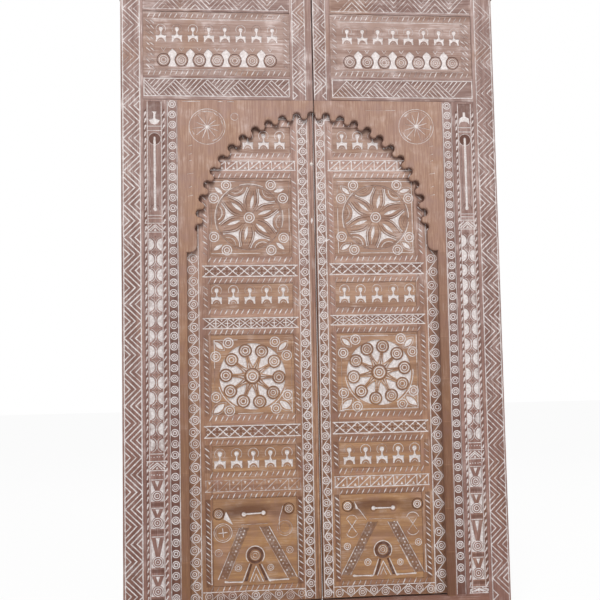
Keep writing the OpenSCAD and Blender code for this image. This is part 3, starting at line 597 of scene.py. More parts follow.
def chevrons(c, x_in, x_out, z_first, pitch, z0, z1, paint, along="z"):
    """Zigzag with two nested chevrons in each bay, between two border lines. Fainter towards the top."""
    place = lambda points: [(v, u) if along == "x" else (u, v) for u, v in points]

    def put(points, white):
        points = place(points)
        fade = 0.62 if along == "x" else float(np.interp(points[0][1], [1700, 2300], [1.0, 0.62]))
        c.stroke(points, 7.2, 2.3, white * fade, 0.4)

    slope = (pitch / 2) / abs(x_out - x_in)
    lo_u, hi_u = sorted((x_in, x_out))
    for k in range(6):
        za, zb = z0 + (z1 - z0) * k / 6, z0 + (z1 - z0) * (k + 1) / 6
        dark = 0.2 if along == "x" else float(np.interp(za, [100, 1300, 1900], [0.24, 0.26, 0.12]))
        c.pocket(place([(lo_u + 1, za), (hi_u - 1, za), (hi_u - 1, zb), (lo_u + 1, zb)]), depth=0.5, wall=1.5,
                 paint=0.0, dirt=dark)
    k_low = int((z0 - z_first) / (pitch / 2)) - 2
    k_high = int((z1 - z_first) / (pitch / 2)) + 2
    for k in range(k_low, k_high):
        z = z_first + k * pitch / 2
        near_u, far_u = (x_in, x_out) if k % 2 == 0 else (x_out, x_in)
        white = paint * RND.uniform(0.8, 1.1)
        if z >= z0 - 5 and z + pitch / 2 <= z1 + 5:
            put([(near_u, z + wobble(1)), (far_u, z + pitch / 2 + wobble(1))], white)
        for back in (0.34, 0.67):
            apex = near_u + (far_u - near_u) * back
            arm = abs(far_u - apex) * slope
            if z - arm < z0 - 2 or z + arm > z1 + 2:
                continue
            white = paint * RND.uniform(0.6, 1.05)
            put([(far_u, z - arm), (apex + wobble(1), z + wobble(1)), (far_u, z + arm)], white)
    for u in (x_in, x_out):
        put([(u, z0), (u, z1)], paint * 0.85)


def hatched_zigzag(c, x0, x1, z0, z1, tops, bottoms, spacing=19.5, paint=0.8):
    """Herringbone band: triangles apex down hatched one way, apex up the other."""
    c.sunk(x0 + 1, x1 - 1, z0 + 1, z1 - 1, 0.5, 0.3)
    for z in (z0, z1):
        line(c, (x0, z), (x1, z), 5.5, 2.0, paint)
    for x in (x0, x1):
        line(c, (x, z0), (x, z1), 5.5, 2.0, paint)
    path = sorted([(x, z1) for x in tops] + [(x, z0) for x in bottoms])
    for a, b in zip(path, path[1:]):
        if a[1] == b[1]:
            continue
        inset = 4 if a[1] < b[1] else -4
        line(c, (a[0], a[1] + inset), (b[0], b[1] - inset), 5.5, 2.2, paint * RND.uniform(0.8, 1.0))
    for left, apex, right in zip(path, path[1:], path[2:]):
        # Hatching runs parallel to the right flank of each triangle
        span = right[0] - left[0]
        foot = z1 if apex[1] == z0 else z0
        for k in range(1, int(span / spacing)):
            end = np.array(apex) + np.array([left[0] - apex[0], left[1] - apex[1]]) * k * spacing / span
            begin = np.array([right[0] - k * spacing, foot])
            towards = end - begin
            size = np.hypot(*towards)
            if size < 14:
                continue
            begin, end = begin + towards * 4 / size, end - towards * 5 / size
            line(c, begin, end, (6.2, 5.0), 2.1, paint * RND.uniform(0.7, 1.05), 0.7)


def petal(cx, cz, turn):
    """Broad petal from the hub to the rim, its half widths taken from the photograph."""
    half = [(18, 11), (34, 20.5), (50, 28.5), (66, 31.5), (82, 30), (100, 26), (118, 20.5), (134, 14)]
    return placed(half + [(far, -wide) for far, wide in half[::-1]], cx, cz, turn)


def lunette(cx, cz, turn, reach=128.0, far=143.0, size=45.0):
    """Part of a circle of the given size, centred far out, that lies within reach of the middle."""
    half = math.acos((reach ** 2 + far ** 2 - size ** 2) / (2 * reach * far))
    meet = math.atan2(reach * math.sin(half), reach * math.cos(half) - far)
    arc = [(far + size * math.cos(a), size * math.sin(a)) for a in np.linspace(meet, 2 * math.pi - meet, 13)]
    rim = [(reach * math.cos(a), reach * math.sin(a)) for a in np.linspace(-half, half, 6)[1:-1]]
    return placed(arc + rim, cx, cz, turn)


def panel_corners(c, cx, cz, faint, roundels, leaves, rim):
    """Roundels and leaves in the corners round a rosette or wheel. Leaves: place, angle, length, width."""
    for dx, dz in roundels:
        c.rings(cx + dx, cz + dz, (19.5, 10.5), 5.8, 1.9, RND.uniform(faint, 1.05), 2.8)
    for dx, dz, angle, length, width in leaves:
        x, z = cx + dx, cz + dz
        c.pocket(lens(x, z, length, width, angle, 7, 0.8), depth=2.6, wall=2.0, paint=RND.uniform(0.75, 1.0),
                 dirt=0.4)
        if rim:
            c.stroke(lens(x, z, length + 14, width + 13, angle, 8, 0.8), 3.2, 1.2, 0.5, 0.5, closed=True)


def rosette(c, cx, cz, rim_leaves):
    """Six-petalled compass rosette in a circle, with its corner roundels."""
    petals = [petal(cx, cz, 82 + 60 * k) for k in range(6)]
    moons = [lunette(cx, cz, 112 + 60 * k) for k in range(6)]
    c.pocket(circle(cx, cz, 127, 64), petals + moons + [circle(cx, cz, 27, 20)], 4.6, 3.0, 1.0, 0.25)
    c.ring(cx, cz, 134, 6.0, 1.8, 0.25, 0.8)
    for k in range(4):
        start = RND.uniform(0, 360)
        c.ring(cx, cz, 139, 4.4, 1.4, 0.8, 0.2, arc=(start, start + RND.uniform(20, 48)))
    for k in range(6):
        a = 82 + 60 * k
        out, side = polar(math.radians(a))
        here = lambda far, wide: (cx, cz) + out * far + side * wide
        c.dome(petals[k], 5.0, 1.4, 0.35)
        for turn in (-1, 1):
            light = RND.uniform(0.4, 0.9)
            vein = [here(far, wide * turn) for far, wide in ((36, 13), (62, 22), (90, 20.5), (118, 12))]
            edge = [here(far, wide * turn) for far, wide in ((50, 23.5), (74, 27.5), (102, 21.5), (126, 13))]
            c.stroke(vein, (2.0, 5.0, 5.0, 2.0), 2.0, 0.12, 0.75)
            c.stroke(edge, (1.5, 4.4, 4.4, 1.5), 1.4, light, 0.2)
            line(c, here(78, 8 * turn), here(112, 4 * turn), (1.5, 3.6), 1.4, RND.uniform(0.1, 0.5), 0.6)
        inner = lens(*here(66, -4), 62, 15, a - 3, 8, 0.8)
        c.pocket(inner, depth=3.0, wall=2.6, paint=RND.uniform(0.6, 1.0), dirt=0.35)
        moon = 112 + 60 * k
        c.dome(moons[k], 5.0, 1.2, 0.35)
        c.stroke(lunette(cx, cz, moon, 126.0, 144.0, 33.0)[:13], 4.4, 1.6, RND.choice((0.2, 0.5, 0.85)), 0.6)
        c.stroke(lunette(cx, cz, moon, 126.0, 144.0, 25.0)[2:11], 3.4, 1.4, 0.1, 0.8)
    c.rings(cx, cz, (20.5, 10.5), 6.0, 2.0, 1.0, 3.0)
    roundels = ((-92, 134), (-143, 80), (91, 135), (140, 79), (-144, -79), (-92, -134), (89, -135), (140, -84))
    leaves = ((-123, 112, -42), (124, 112, 14), (-128, -122, 32), (126, -118, -40))
    panel_corners(c, cx, cz, 0.85, roundels, [(*leaf, 46, 17) for leaf in leaves], rim_leaves)


def wheel(c, cx, cz, first):
    """Wheel of ten roundels on stalks round a hub, standing in a sunk white ground."""
    mid = np.array([cx, cz])
    spokes = [polar(math.radians(first + 36 * k)) for k in range(10)]
    islands = [circle(cx, cz, 42, 40)]
    stalk = ((34, -12), (56, -8), (86, -6), (86, 6), (56, 8), (34, 12))
    for out, side in spokes:
        islands.append(circle(*(mid + out * 107), 27, 26))
        islands.append(np.array([mid + out * far + side * wide for far, wide in stalk]))
    c.pocket(circle(cx, cz, 134.0, 80), islands, 5.0, 2.4, 1.0, 0.2)
    for out, side in spokes:
        at = mid + out * 107
        white = RND.choice((0.6, 0.85, 1.0, 1.0))
        c.rings(at[0], at[1], (18.5, 9.5), 5.8, 1.9, white, 3.0, 0.8)
        c.ring(at[0], at[1], 25.0, 3.6, 1.5, 0.05, 1.0)
        for lane in (-5.5, 5.5):
            line(c, mid + out * 36 + side * lane, mid + out * 58 + side * lane * 0.35, (5.5, 1.5), 1.7,
                 RND.uniform(0.55, 1.0), 0.6)
        line(c, mid + out * 56, mid + out * 80, (3.0, 3.0), 1.2, 0.05, 1.0)
        line(c, mid + out * 34, mid + out * 46, (4.0, 1.5), 1.6, 0.0, 1.0)
    c.ring(cx, cz, 30, 5.5, 1.8, 0.05, 1.0)
    c.rings(cx, cz, (21.5, 11), 6.0, 2.0, 1.0, 4.0)
    for k in range(3):
        start = RND.uniform(180, 340)
        c.ring(cx, cz, 141, 5.0, 1.6, 0.8, 0.3, arc=(start, start + RND.uniform(20, 50)))
    roundels = ((-96, 136), (-147, 82), (93, 137), (141, 82), (-148, -82), (-93, -137), (94, -131), (141, -78))
    leaves = ((-134, 126, -42, 46), (124, 119, 45, 48), (-136, -127, 40, 60), (131, -119, -38, 60))
    panel_corners(c, cx, cz, 0.8, roundels, [(*leaf, leaf[3] * 0.42) for leaf in leaves], True)


# Places in the bottom panels, as the photograph shows them
COMPASS = {
    -1: {"discs": ((-401.8, 449.2), (-121, 462)), "bell": ((-300.5, 445.5), (-222.5, 449.0)),
         "bars": (((-301, 392), (-387, 194)), ((-219.6, 394), (-110.5, 192))), "disc": (-258.0, 283.0),
         "legs": (((-281, 250), (-308, 182)), ((-234, 248), (-202, 182))),
         "vee": ((-280, 180), (-255, 241), (-227, 180)),
         "base": (((-378, 183), (-310, 180)), ((-201, 183), (-126, 185))),
         "rings": ((-384.6, 375.2, 36), (-384.6, 375.2, 29), (-138, 386, 30), (-138, 386, 20)),
         "small": ((-402.4, 297.2, 14), (-325.0, 235.8, 13), (-119, 299.3, 13), (-197.1, 232.6, 12)),
         "spike": ((-372, 460), (-383, 428), (-343, 404)),
         "line": ((-144.6, 472.6), (-159.4, 423.1), (-160.1, 384))},
    1: {"discs": ((118.0, 462.7), (404.5, 462.6)), "bell": ((223.5, 451.3), (303.7, 450.9)),
        "bars": (((219, 397), (105.5, 190)), ((299.9, 395), (407, 190))), "disc": (258.0, 284.0),
        "legs": (((239, 248), (217, 184)), ((284, 250), (312, 184))),
        "vee": ((234, 184), (258, 240), (289, 183)),
        "base": (((137, 186), (212, 183.5)), ((314, 183.6), (391, 186))),
        "rings": ((134.2, 402, 24), (134.2, 362, 24), (384.0, 404, 26), (384.0, 364, 25)),
        "small": ((113.1, 303.2, 13), (195.7, 237.1, 13), (404.7, 309.9, 13), (327.8, 233.1, 12)),
        "spike": ((143, 487), (151, 450), (164, 448)), "line": ((164, 448), (180, 427), (194, 406))},
}


def compass_panel(c, s):
    """Bottom panel: a pair of dotted slanting bars like open compasses, with discs, on a low baseline."""
    spec = COMPASS[s]
    left = s < 0
    (ax, az), (bx, bz) = spec["bell"]
    mx, mz = (ax + bx) / 2, (az + bz) / 2
    for cx, cz, w, h, dark in ((mx - 20, mz + 16, 120, 34, 0.75), (mx - 95, mz + 4, 62, 40, 0.6),
                               (mx + 110, mz + 6, 60, 44, 0.5)):
        stain = [(cx + w * math.cos(t), cz + h * math.sin(t)) for t in np.linspace(0, 2 * math.pi, 22)[:-1]]
        c.pocket(stain, depth=0.3, wall=24, paint=0.0, dirt=dark)
    for x, z in spec["discs"]:
        c.pocket(circle(x, z, 24, 26), [circle(x, z, 20.0, 24)], 2.6, 1.5, 0.0, 1.0)
        c.rings(x, z, (14, 7), 5.2, 1.6, 0.5 if left else 0.95, 2.6, 0.6)
    line(c, *spec["bell"], 7.5, 2.6, 1.0)
    for x, z in spec["bell"]:
        c.pocket(circle(x, z, 9, 14), depth=3.2, wall=2.2, paint=1.0)
        c.ring(x, z, 13.5, 4.0, 1.0, 0.0, 0.9)
    bar_width, dots = 34, 15
    for side, (a, b) in zip((-1, 1), spec["bars"]):
        a, b = np.array(a, float), np.array(b, float)
        run = (b - a) / np.hypot(*(b - a))
        out = np.array([-run[1], run[0]]) * -side
        flat = np.array([bar_width / 2 / abs(run[1]), 0])
        c.pocket([a - flat, a + flat, b + flat, b - flat], depth=1.6, wall=2.4, paint=0.12, dirt=0.62)
        for k, strong in ((-side, 0.45), (side, 0.95)):
            p, q = a + flat * k, b + flat * k
            line(c, p, p + (q - p) * 0.42, (5.0, 3.0), 2.0, strong * (0.8 if side > 0 else 0.35), 0.6)
            line(c, p + (q - p) * 0.46, q, (3.5, 6.5), 2.0, strong * RND.uniform(0.6, 0.85), 0.5)
        for i in range(dots):
            for k in (-1, 1):
                p = a + (b - a) * (i + 0.5 + 0.22 * k) / dots + out * 6.0 * k
                c.dot(p[0] + wobble(1), p[1] + wobble(1), 4.6, 2.6, RND.choice((0.2, 0.35, 0.6)), 0.6, 8)
    top = [np.array(bar[0], float) for bar in spec["bars"]]
    line(c, top[0] + (-12, 12), top[1] + (12, 12), 4.0, 1.5, 0.35, 0.5)
    # Ringed disc on its A-shaped stand
    x, z = spec["disc"]
    c.pocket(circle(x, z, 34, 34), [circle(x, z, 21, 30)], 1.8, 2.0, 0.1, 1.0)
    c.ring(x, z, 36.5, 5.4, 1.8, 0.75, 0.5, arc=(-40, 220))
    c.rings(x, z, (16.5, 8.5), 4.8, 1.6, 0.55, 3.0, 0.8)
    for side, (a, b) in zip((-1, 1), spec["legs"]):
        a, b = np.array(a, float), np.array(b, float)
        leg = [a + (side * -3, 0), a + (side * -12, 0), b + (side * -18, 0), b + (side * -4, 0)]
        c.pocket(leg, depth=2.2, wall=1.8, paint=0.1, dirt=1.0)
        line(c, a, b, (5.0, 6.5), 2.2, 0.95, 0.4)
    (ax, az), (bx, bz), (dx, dz) = spec["vee"]
    line(c, (ax, az), (bx, bz), 5.0, 2.0, 0.85, 0.5)
    line(c, (bx, bz), (dx, dz), 5.0, 2.0, 0.85, 0.5)
    c.stroke([(bx - 12, az + 2), (bx, az + 30), (bx + 12, az + 2)], 4.2, 1.8, 0.7, 0.5)
    for a, b in spec["base"]:
        mid = ((a[0] + b[0]) / 2, (a[1] + b[1]) / 2)
        c.stroke([a, (a[0] * 0.8 + b[0] * 0.2, mid[1]), mid, b], (13.0, 6.5, 5.5, 9.0), 2.4, 1.0, 0.3)
    # Rings and small roundels round the bars, with a cross on the left and saltires on the right
    if left:
        for (x, z, r), white in zip(spec["rings"], (0.55, 0.4, 0.35, 0.25)):
            c.ring(x, z, r, 4.4, 1.4, white, 0.4)
        marks = [(*spec["rings"][0][:2], d, 5.0, 1.8, 0.85, 0.3) for d in ((17, 1.5), (-1.5, 17))]
    else:
        c.stroke([(328, 300), (352, 256), (372, 214)], (4, 12, 9), 1.0, 0.4, 0.1)
        for (x, z, r), arc in zip(spec["rings"], ((20, 160), (200, 340)) * 2):
            c.ring(x, z, r, 4.4, 1.4, 0.55, 0.4, arc=arc)
        marks = [(x, z, d, 4.4, 1.6, white, 0.5) for x, z, white in ((134.2, 382, 0.7), (384, 384, 0.45))
                 for d in ((17, 24), (-17, 24))]
    for x, z, d, *cut in marks:
        line(c, (x - d[0], z - d[1]), (x + d[0], z + d[1]), *cut)
    for x, z, r in spec["small"]:
        c.rings(x, z, (r, r * 0.5), 4.4, 1.3, 0.5 if left else 0.8, 0, 0.4)
    c.pocket(spec["spike"], depth=2.0, wall=2.0, paint=0.8, dirt=0.2)
    c.stroke(spec["line"], (4.5, 5.5, 2), 1.8, 0.65, 0.4)


# Levels of each rail's two lines and of the ropes under and over them
BANDS = {
    "band_1": {-1: (538, 582, 518, 603), 1: (539, 582, 520, 604)},
    "band_2": {-1: (752, 797.5, 732, 828), 1: (754.5, 800, 732, 829)},
    "band_3": {-1: (1189, 1230, 1173, 1255), 1: (1196.5, 1235, 1175, 1255)},
    "band_4": {-1: (1399.5, 1443.5, 1382, 1466), 1: (1403, 1447.5, 1381, 1468)},
    "band_5": {-1: (1836.5, 1874.5, 1814, 1897), 1: (1834.5, 1877, 1814, 1899)},
}
LOW_ROPE, TOP_ROPE = 157, 2028
# The three rows of figures: middle, pitch, level and size
FIGURES = {
    -1: ((-259, 67.2, 628.0, 1.0), (-263, 68.0, 1288.0, 0.95), (-263, 65.6, 1925.0, 0.95)),
    1: ((264.6, 67.9, 629.5, 1.0), (260, 67.8, 1286.0, 0.95), (257.5, 64.6, 1925.5, 0.95)),
}
# Frames of the wheel and rosette panels
PANEL_FRAMES = {
    -1: ((-410, -99, 846, 1142), (-416, -98, 1494, 1790)),
    1: ((106, 419, 851, 1150), (104, 416, 1492, 1790)),
}


def wicket_carving(s):
    c = Carving()
    left = s < 0
    side = SIDE[s]
    bx0, bx1 = (-450, -72) if left else (69, 453)
    # Bottom strip of roundels and its zigzag
    z0, z1 = 106, 146
    white = 0.55 if left else 0.8
    line(c, (bx0 - 14, z1), (bx1 + 14, z1), 4.8, 1.8, 0.8)
    c.sunk(bx0, bx1, z0, z1 - 2, 0.7, 0.35)
    path = []
    for i in range(9):
        x = bx0 + 8 + i * (bx1 - bx0 - 10) / 8
        high = i % 2 == (0 if left else 1)
        c.rings(x, 129 if high else 121, (14.5, 7), 5.2, 1.6, white, 2.4)
        path.append((x, z0 if high else z1))
    chain(c, path, 4.8, 1.8, white)
    rope(c, (bx0 + 10, LOW_ROPE), (bx1 - 10, LOW_ROPE), 0.7)
    # Ropes and bands of the rails
    for name, (low, high, under, over) in ((n, b[s]) for n, b in BANDS.items()):
        for z in (under, over):
            rope(c, (bx0 + 12, z), (bx1 - 12, z), RND.uniform(0.8, 1.0))
        if name == "band_1":
            square_band(c, bx0, bx1, low, high, 0.4 if left else 0.85, 0.5 if left else 1.0)
        elif name == "band_5":
            square_band(c, bx0, bx1, low, high, 1.0)
        else:
            cross_band(c, bx0, bx1, low, high, name == "band_3")
    rope(c, (bx0 + 12, TOP_ROPE), (bx1 - 12, TOP_ROPE), 0.85)
    line(c, (bx0, 2048), (bx1, 2048), 5.5, 2.0, 0.9)
    square_band(c, bx0, bx1, 2054, 2093, 0.6)
    if left:
        c.stroke([(-72, 2062), (-58, 2076), (-33, 2046)], (3, 7, 5), 2.0, 1.0, 0.2)
    else:
        c.stroke([(44, 2020), (58, 2046), (74, 2064)], (4, 7, 3), 2.0, 1.0, 0.2)
        line(c, (58, 2047), (150, 2048), (7, 4), 2.0, 1.0, 0.2)
    # Ropes beside each panel, from the rope below to the rope above
    ropes = [LOW_ROPE] + [z for b in BANDS.values() for z in b[s][2:]] + [TOP_ROPE]
    for a, b in zip(ropes[::2], ropes[1::2]):
        ground = float(np.interp(a, [150, 700, 1300], [0.6, 0.35, 0.12]))
        for u in ((443, 76) if left else (447, 74)):
            rope(c, (s * u, a + 16), (s * u, b - 16), RND.uniform(0.85, 1.0), ground)
    # Meeting strip and the strip along the arch board
    z0 = levels_of("wicket_%s_bottom_rail" % side)[0] + 4
    z1 = levels_of("wicket_%s_top_rail" % side)[1] - 6
    if left:
        ring_strip(c, -39, -59, -19, z0, z1, 14, 6.5, 41, 3.5, 0.95)
        ring_strip(c, -494.0, -518, -470, z0, z1, 16, 8, 46, 4.0, 0.85, 0.55)
    else:
        ring_strip(c, 35, 18, 54, z0, z1, 13.5, 6.5, 44.5, 3.5, 0.95)
        ring_strip(c, 494.0, 470, 518, z0, z1, 16, 8, 55, 4.0, 1.05, 1.0)
    # Painted shadow under the arch's scallops, where the arch board shades the wicket, and smears
    c.stroke((arch_outline(s)[SCALLOPS_FROM:] * (s, 1))[::2], 27.0, 0.3, 0.0, 0.9)
    if not left:
        c.stroke([(44, 1540), (56, 1544), (68, 1550)], (3, 8, 3), 2.0, 1.0, 0.2)
        line(c, (54, 1532), (57, 1556), (6, 3), 2.0, 1.0, 0.2)
        c.stroke([(92, 845), (103, 846), (115, 845)], (3, 9, 3), 1.6, 0.9, 0.2)
        # Painted shade: a dark line beside the gap between the leaves
        line(c, (13.0, 104), (13.0, 2104), 3.6, 0.5, 0.0, 1.2)
    # Panels
    compass_panel(c, s)
    if left:
        line(c, (-431, 426), (-430, 176), (4.2, 5.5), 1.8, 0.8)
        line(c, (-86, 436), (-86, 190), 5.0, 1.6, 0.7, 0.4)
    else:
        line(c, (433, 300), (433, 190), (4.2, 5.5), 1.8, 0.8)
        line(c, (84, 436), (84, 220), 5.0, 1.6, 0.3, 0.4)
    for x, pitch, z, size in FIGURES[s]:
        for k in range(-2, 3):
            figure(c, x + k * pitch + wobble(1.2), z, size, RND.uniform(0.88, 1.0), RND.uniform(0.2, 0.85))
    if left:
        wheel(c, -258, 994.5, -3)
        rosette(c, -262, 1641.5, False)
    else:
        wheel(c, 261, 999.5, 9)
        rosette(c, 262, 1639.5, True)
    for x0, x1, z0, z1 in PANEL_FRAMES[s]:
        for a, b in (((x0, z0), (x1, z0)), ((x0, z1), (x1, z1)), ((x0, z0), (x0, z1)), ((x1, z0), (x1, z1))):
            a, b = np.array(a, float), np.array(b, float)
            for p, q in ((0.0, 0.3), (0.3, 0.62), (0.62, 1.0)):
                line(c, a + (b - a) * p, a + (b - a) * q, 3.8, 1.2, RND.choice((0.05, 0.25, 0.75)), 0.5)
    return c


def gate_carving(s):
    c = Carving()
    left = s < 0
    # Heel stile, meeting stile and top rail
    if left:
        chevrons(c, -697, -765, 15.5, 134.2, 52, 2566, 0.9)
        chevrons(c, -22, -74, 2043, 100, 2126, 2566, 0.85)
    else:
        chevrons(c, 699, 767, 26.4, 133.3, 52, 2566, 0.62)
        chevrons(c, 15, 64, 2043, 100, 2126, 2566, 0.85)
    a, b = sorted((s * 90, s * 678))
    chevrons(c, 2500, 2562, a + 30, 118, a, b, 0.8, along="x")
    # Herringbone rail
    a, b = sorted((s * 90, s * 680))
    if left:
        tops = [a] + [-686 + 131.0 * k for k in range(1, 5)]
        bottoms = [-620 + 131.0 * k for k in range(5)]
    else:
        bottoms = [90 + 127 * k for k in range(5)]
        tops = [150 + 127 * k for k in range(5)]
    hatched_zigzag(c, a, b, 2137, 2209, [t for t in tops if t <= b], [t for t in bottoms if t <= b])
    if left:
        for k in (1, 2, 3):
            line(c, (a + 3, 2208 - 18 * k), (a + 3 + (70 - 18 * k) * 0.85, 2139), 5.0, 2.0, 0.75)
        for x, z in ((-148, 2193), (-136, 2180), (-124, 2167), (-110, 2152)):
            reach = min(2207 - z, b - 2 - x)
            line(c, (x, z), (x + reach, z + reach), 5.0, 2.0, 0.75)
    # Rib beside the side panel
    a, b = sorted((s * 550, s * 587) if left else (552, 588))
    for k in range(6):
        z = 100 + 336 * k
        c.sunk(a + 1, b - 1, z, z + 336, 0.5, float(np.interp(z, [100, 1300, 1900], [0.7, 0.55, 0.15])))
        for edge in (a, b):
            line(c, (edge, 104 + 334 * k), (edge, 438 + 334 * k + (6 if k == 5 else 0)), 4.6, 1.8,
                 RND.uniform(0.6, 0.95), 0.4)
    for k in range(48):
        z = (2103.2 - 42.76 * k) if left else (2103.9 - 41.2 * k - 0.043 * k * k)
        if z > 120:
            c.rings((a + b) / 2, z, (14, 7), 5.6, 1.9, RND.uniform(0.8, 1.1), 2.8)
    side_panel_carving(c, s)
    transom_carving(c, s)
    # Arch board's leg, darker below, and its corner
    a, b = sorted((s * BOARD_IN, s * BOARD_OUT))
    for k in range(8):
        z = 97 + 174 * k
        dark = float(np.interp(z, [100, 700, 1500], [0.42, 0.3, 0.0] if left else [0.7, 0.45, 0.1]))
        c.sunk(a, b, z, z + 174, 0.15, dark)
    cx, cz = (-427.5, 2011) if left else (437, 2015)
    c.ring(cx, cz, 73, 3.8, 1.2, 0.6, 0.4)
    c.ring(cx, cz, 65, 3.4, 1.0, 0.4, 0.4, arc=(-70, 140))
    for k in range(12):
        d = polar(math.radians(30 * k + (8 if left else 18)))[0]
        tip = (cx, cz) + d * RND.uniform(42, 62)
        line(c, (cx, cz) + d * 6, tip, (5.5, 2.8), 1.5, RND.uniform(0.3, 0.95), 0.35)
    for k in range(6):
        t = RND.uniform(0, 6.28)
        line(c, (cx, cz) + polar(t)[0] * 62, (cx, cz) + polar(t + 0.25)[0] * 62, (2, 5), 1.4, 0.7)
    c.dot(cx, cz, 7, 2.2, 1.0, 0.2)
    if left:
        c.ring(-316, 2052.5, 15, 3.6, 1.1, 0.55, 0.4)
        for a, b in ((-528, -455), (-385, -362), (-345, -318)):
            c.stroke([(a, 2114), ((a + b) / 2, 2115), (b, 2114)], (2, 5.5, 2.5), 1.6, 0.9, 0.3)
    else:
        line(c, (225, 2082), (350, 2083), (1.5, 4), 1.0, 0.45)
    for z, size in ((1930, 8), (1895, 6), (1868, 5), (1815, 12), (1760, 5), (1725, 9)):
        line(c, (s * 498 - size, z), (s * 498 + size, z + 4), (2, 5), 1.3, 0.6)
    return c


# Side panels: middle, inner lines, dotted edges, tiles, ring cells (low, high, ring), span of the recesses,
# and the small bell in the niche, from the panel's middle and the niche's top
SIDE_PANEL = {
    -1: {"mid": -639.5, "edges": (-684, -596), "lines": (-668, -612), "dots": (-677, -604),
         "tiles": ((1580, 1616), (633, 669)), "recesses": (733, 1530),
         "cells": ((508, 601, 534), (402, 491, 429.6), (251, 380, 278), (141, 231, 166)),
         "bell": ((-24.0, -80), (-6, -74), (-5, -52), (-12, -44), (10, -44), (4, -56), (5, -74), (24.0, -80),
                  (14, -96), (0, -100), (-14, -96)), "bell_white": 0.6},
    1: {"mid": 643.0, "edges": (600, 684), "lines": (616, 671), "dots": (608, 678),
        "tiles": ((1585, 1622), (640, 676), (104, 128)), "recesses": (742, 1536),
        "cells": ((522, 613, 549), (416, 504, 441), (262, 400, 290), (152, 249, 182)),
        "bell": ((-23.5, -96), (-20, -66), (-6, -58), (-5, -40), (6, -40), (6, -58), (20, -66), (23.5, -96),
                 (14, -84), (0, -80), (-14, -84)), "bell_white": 0.95},
}
NICHE = (1632, 2118)


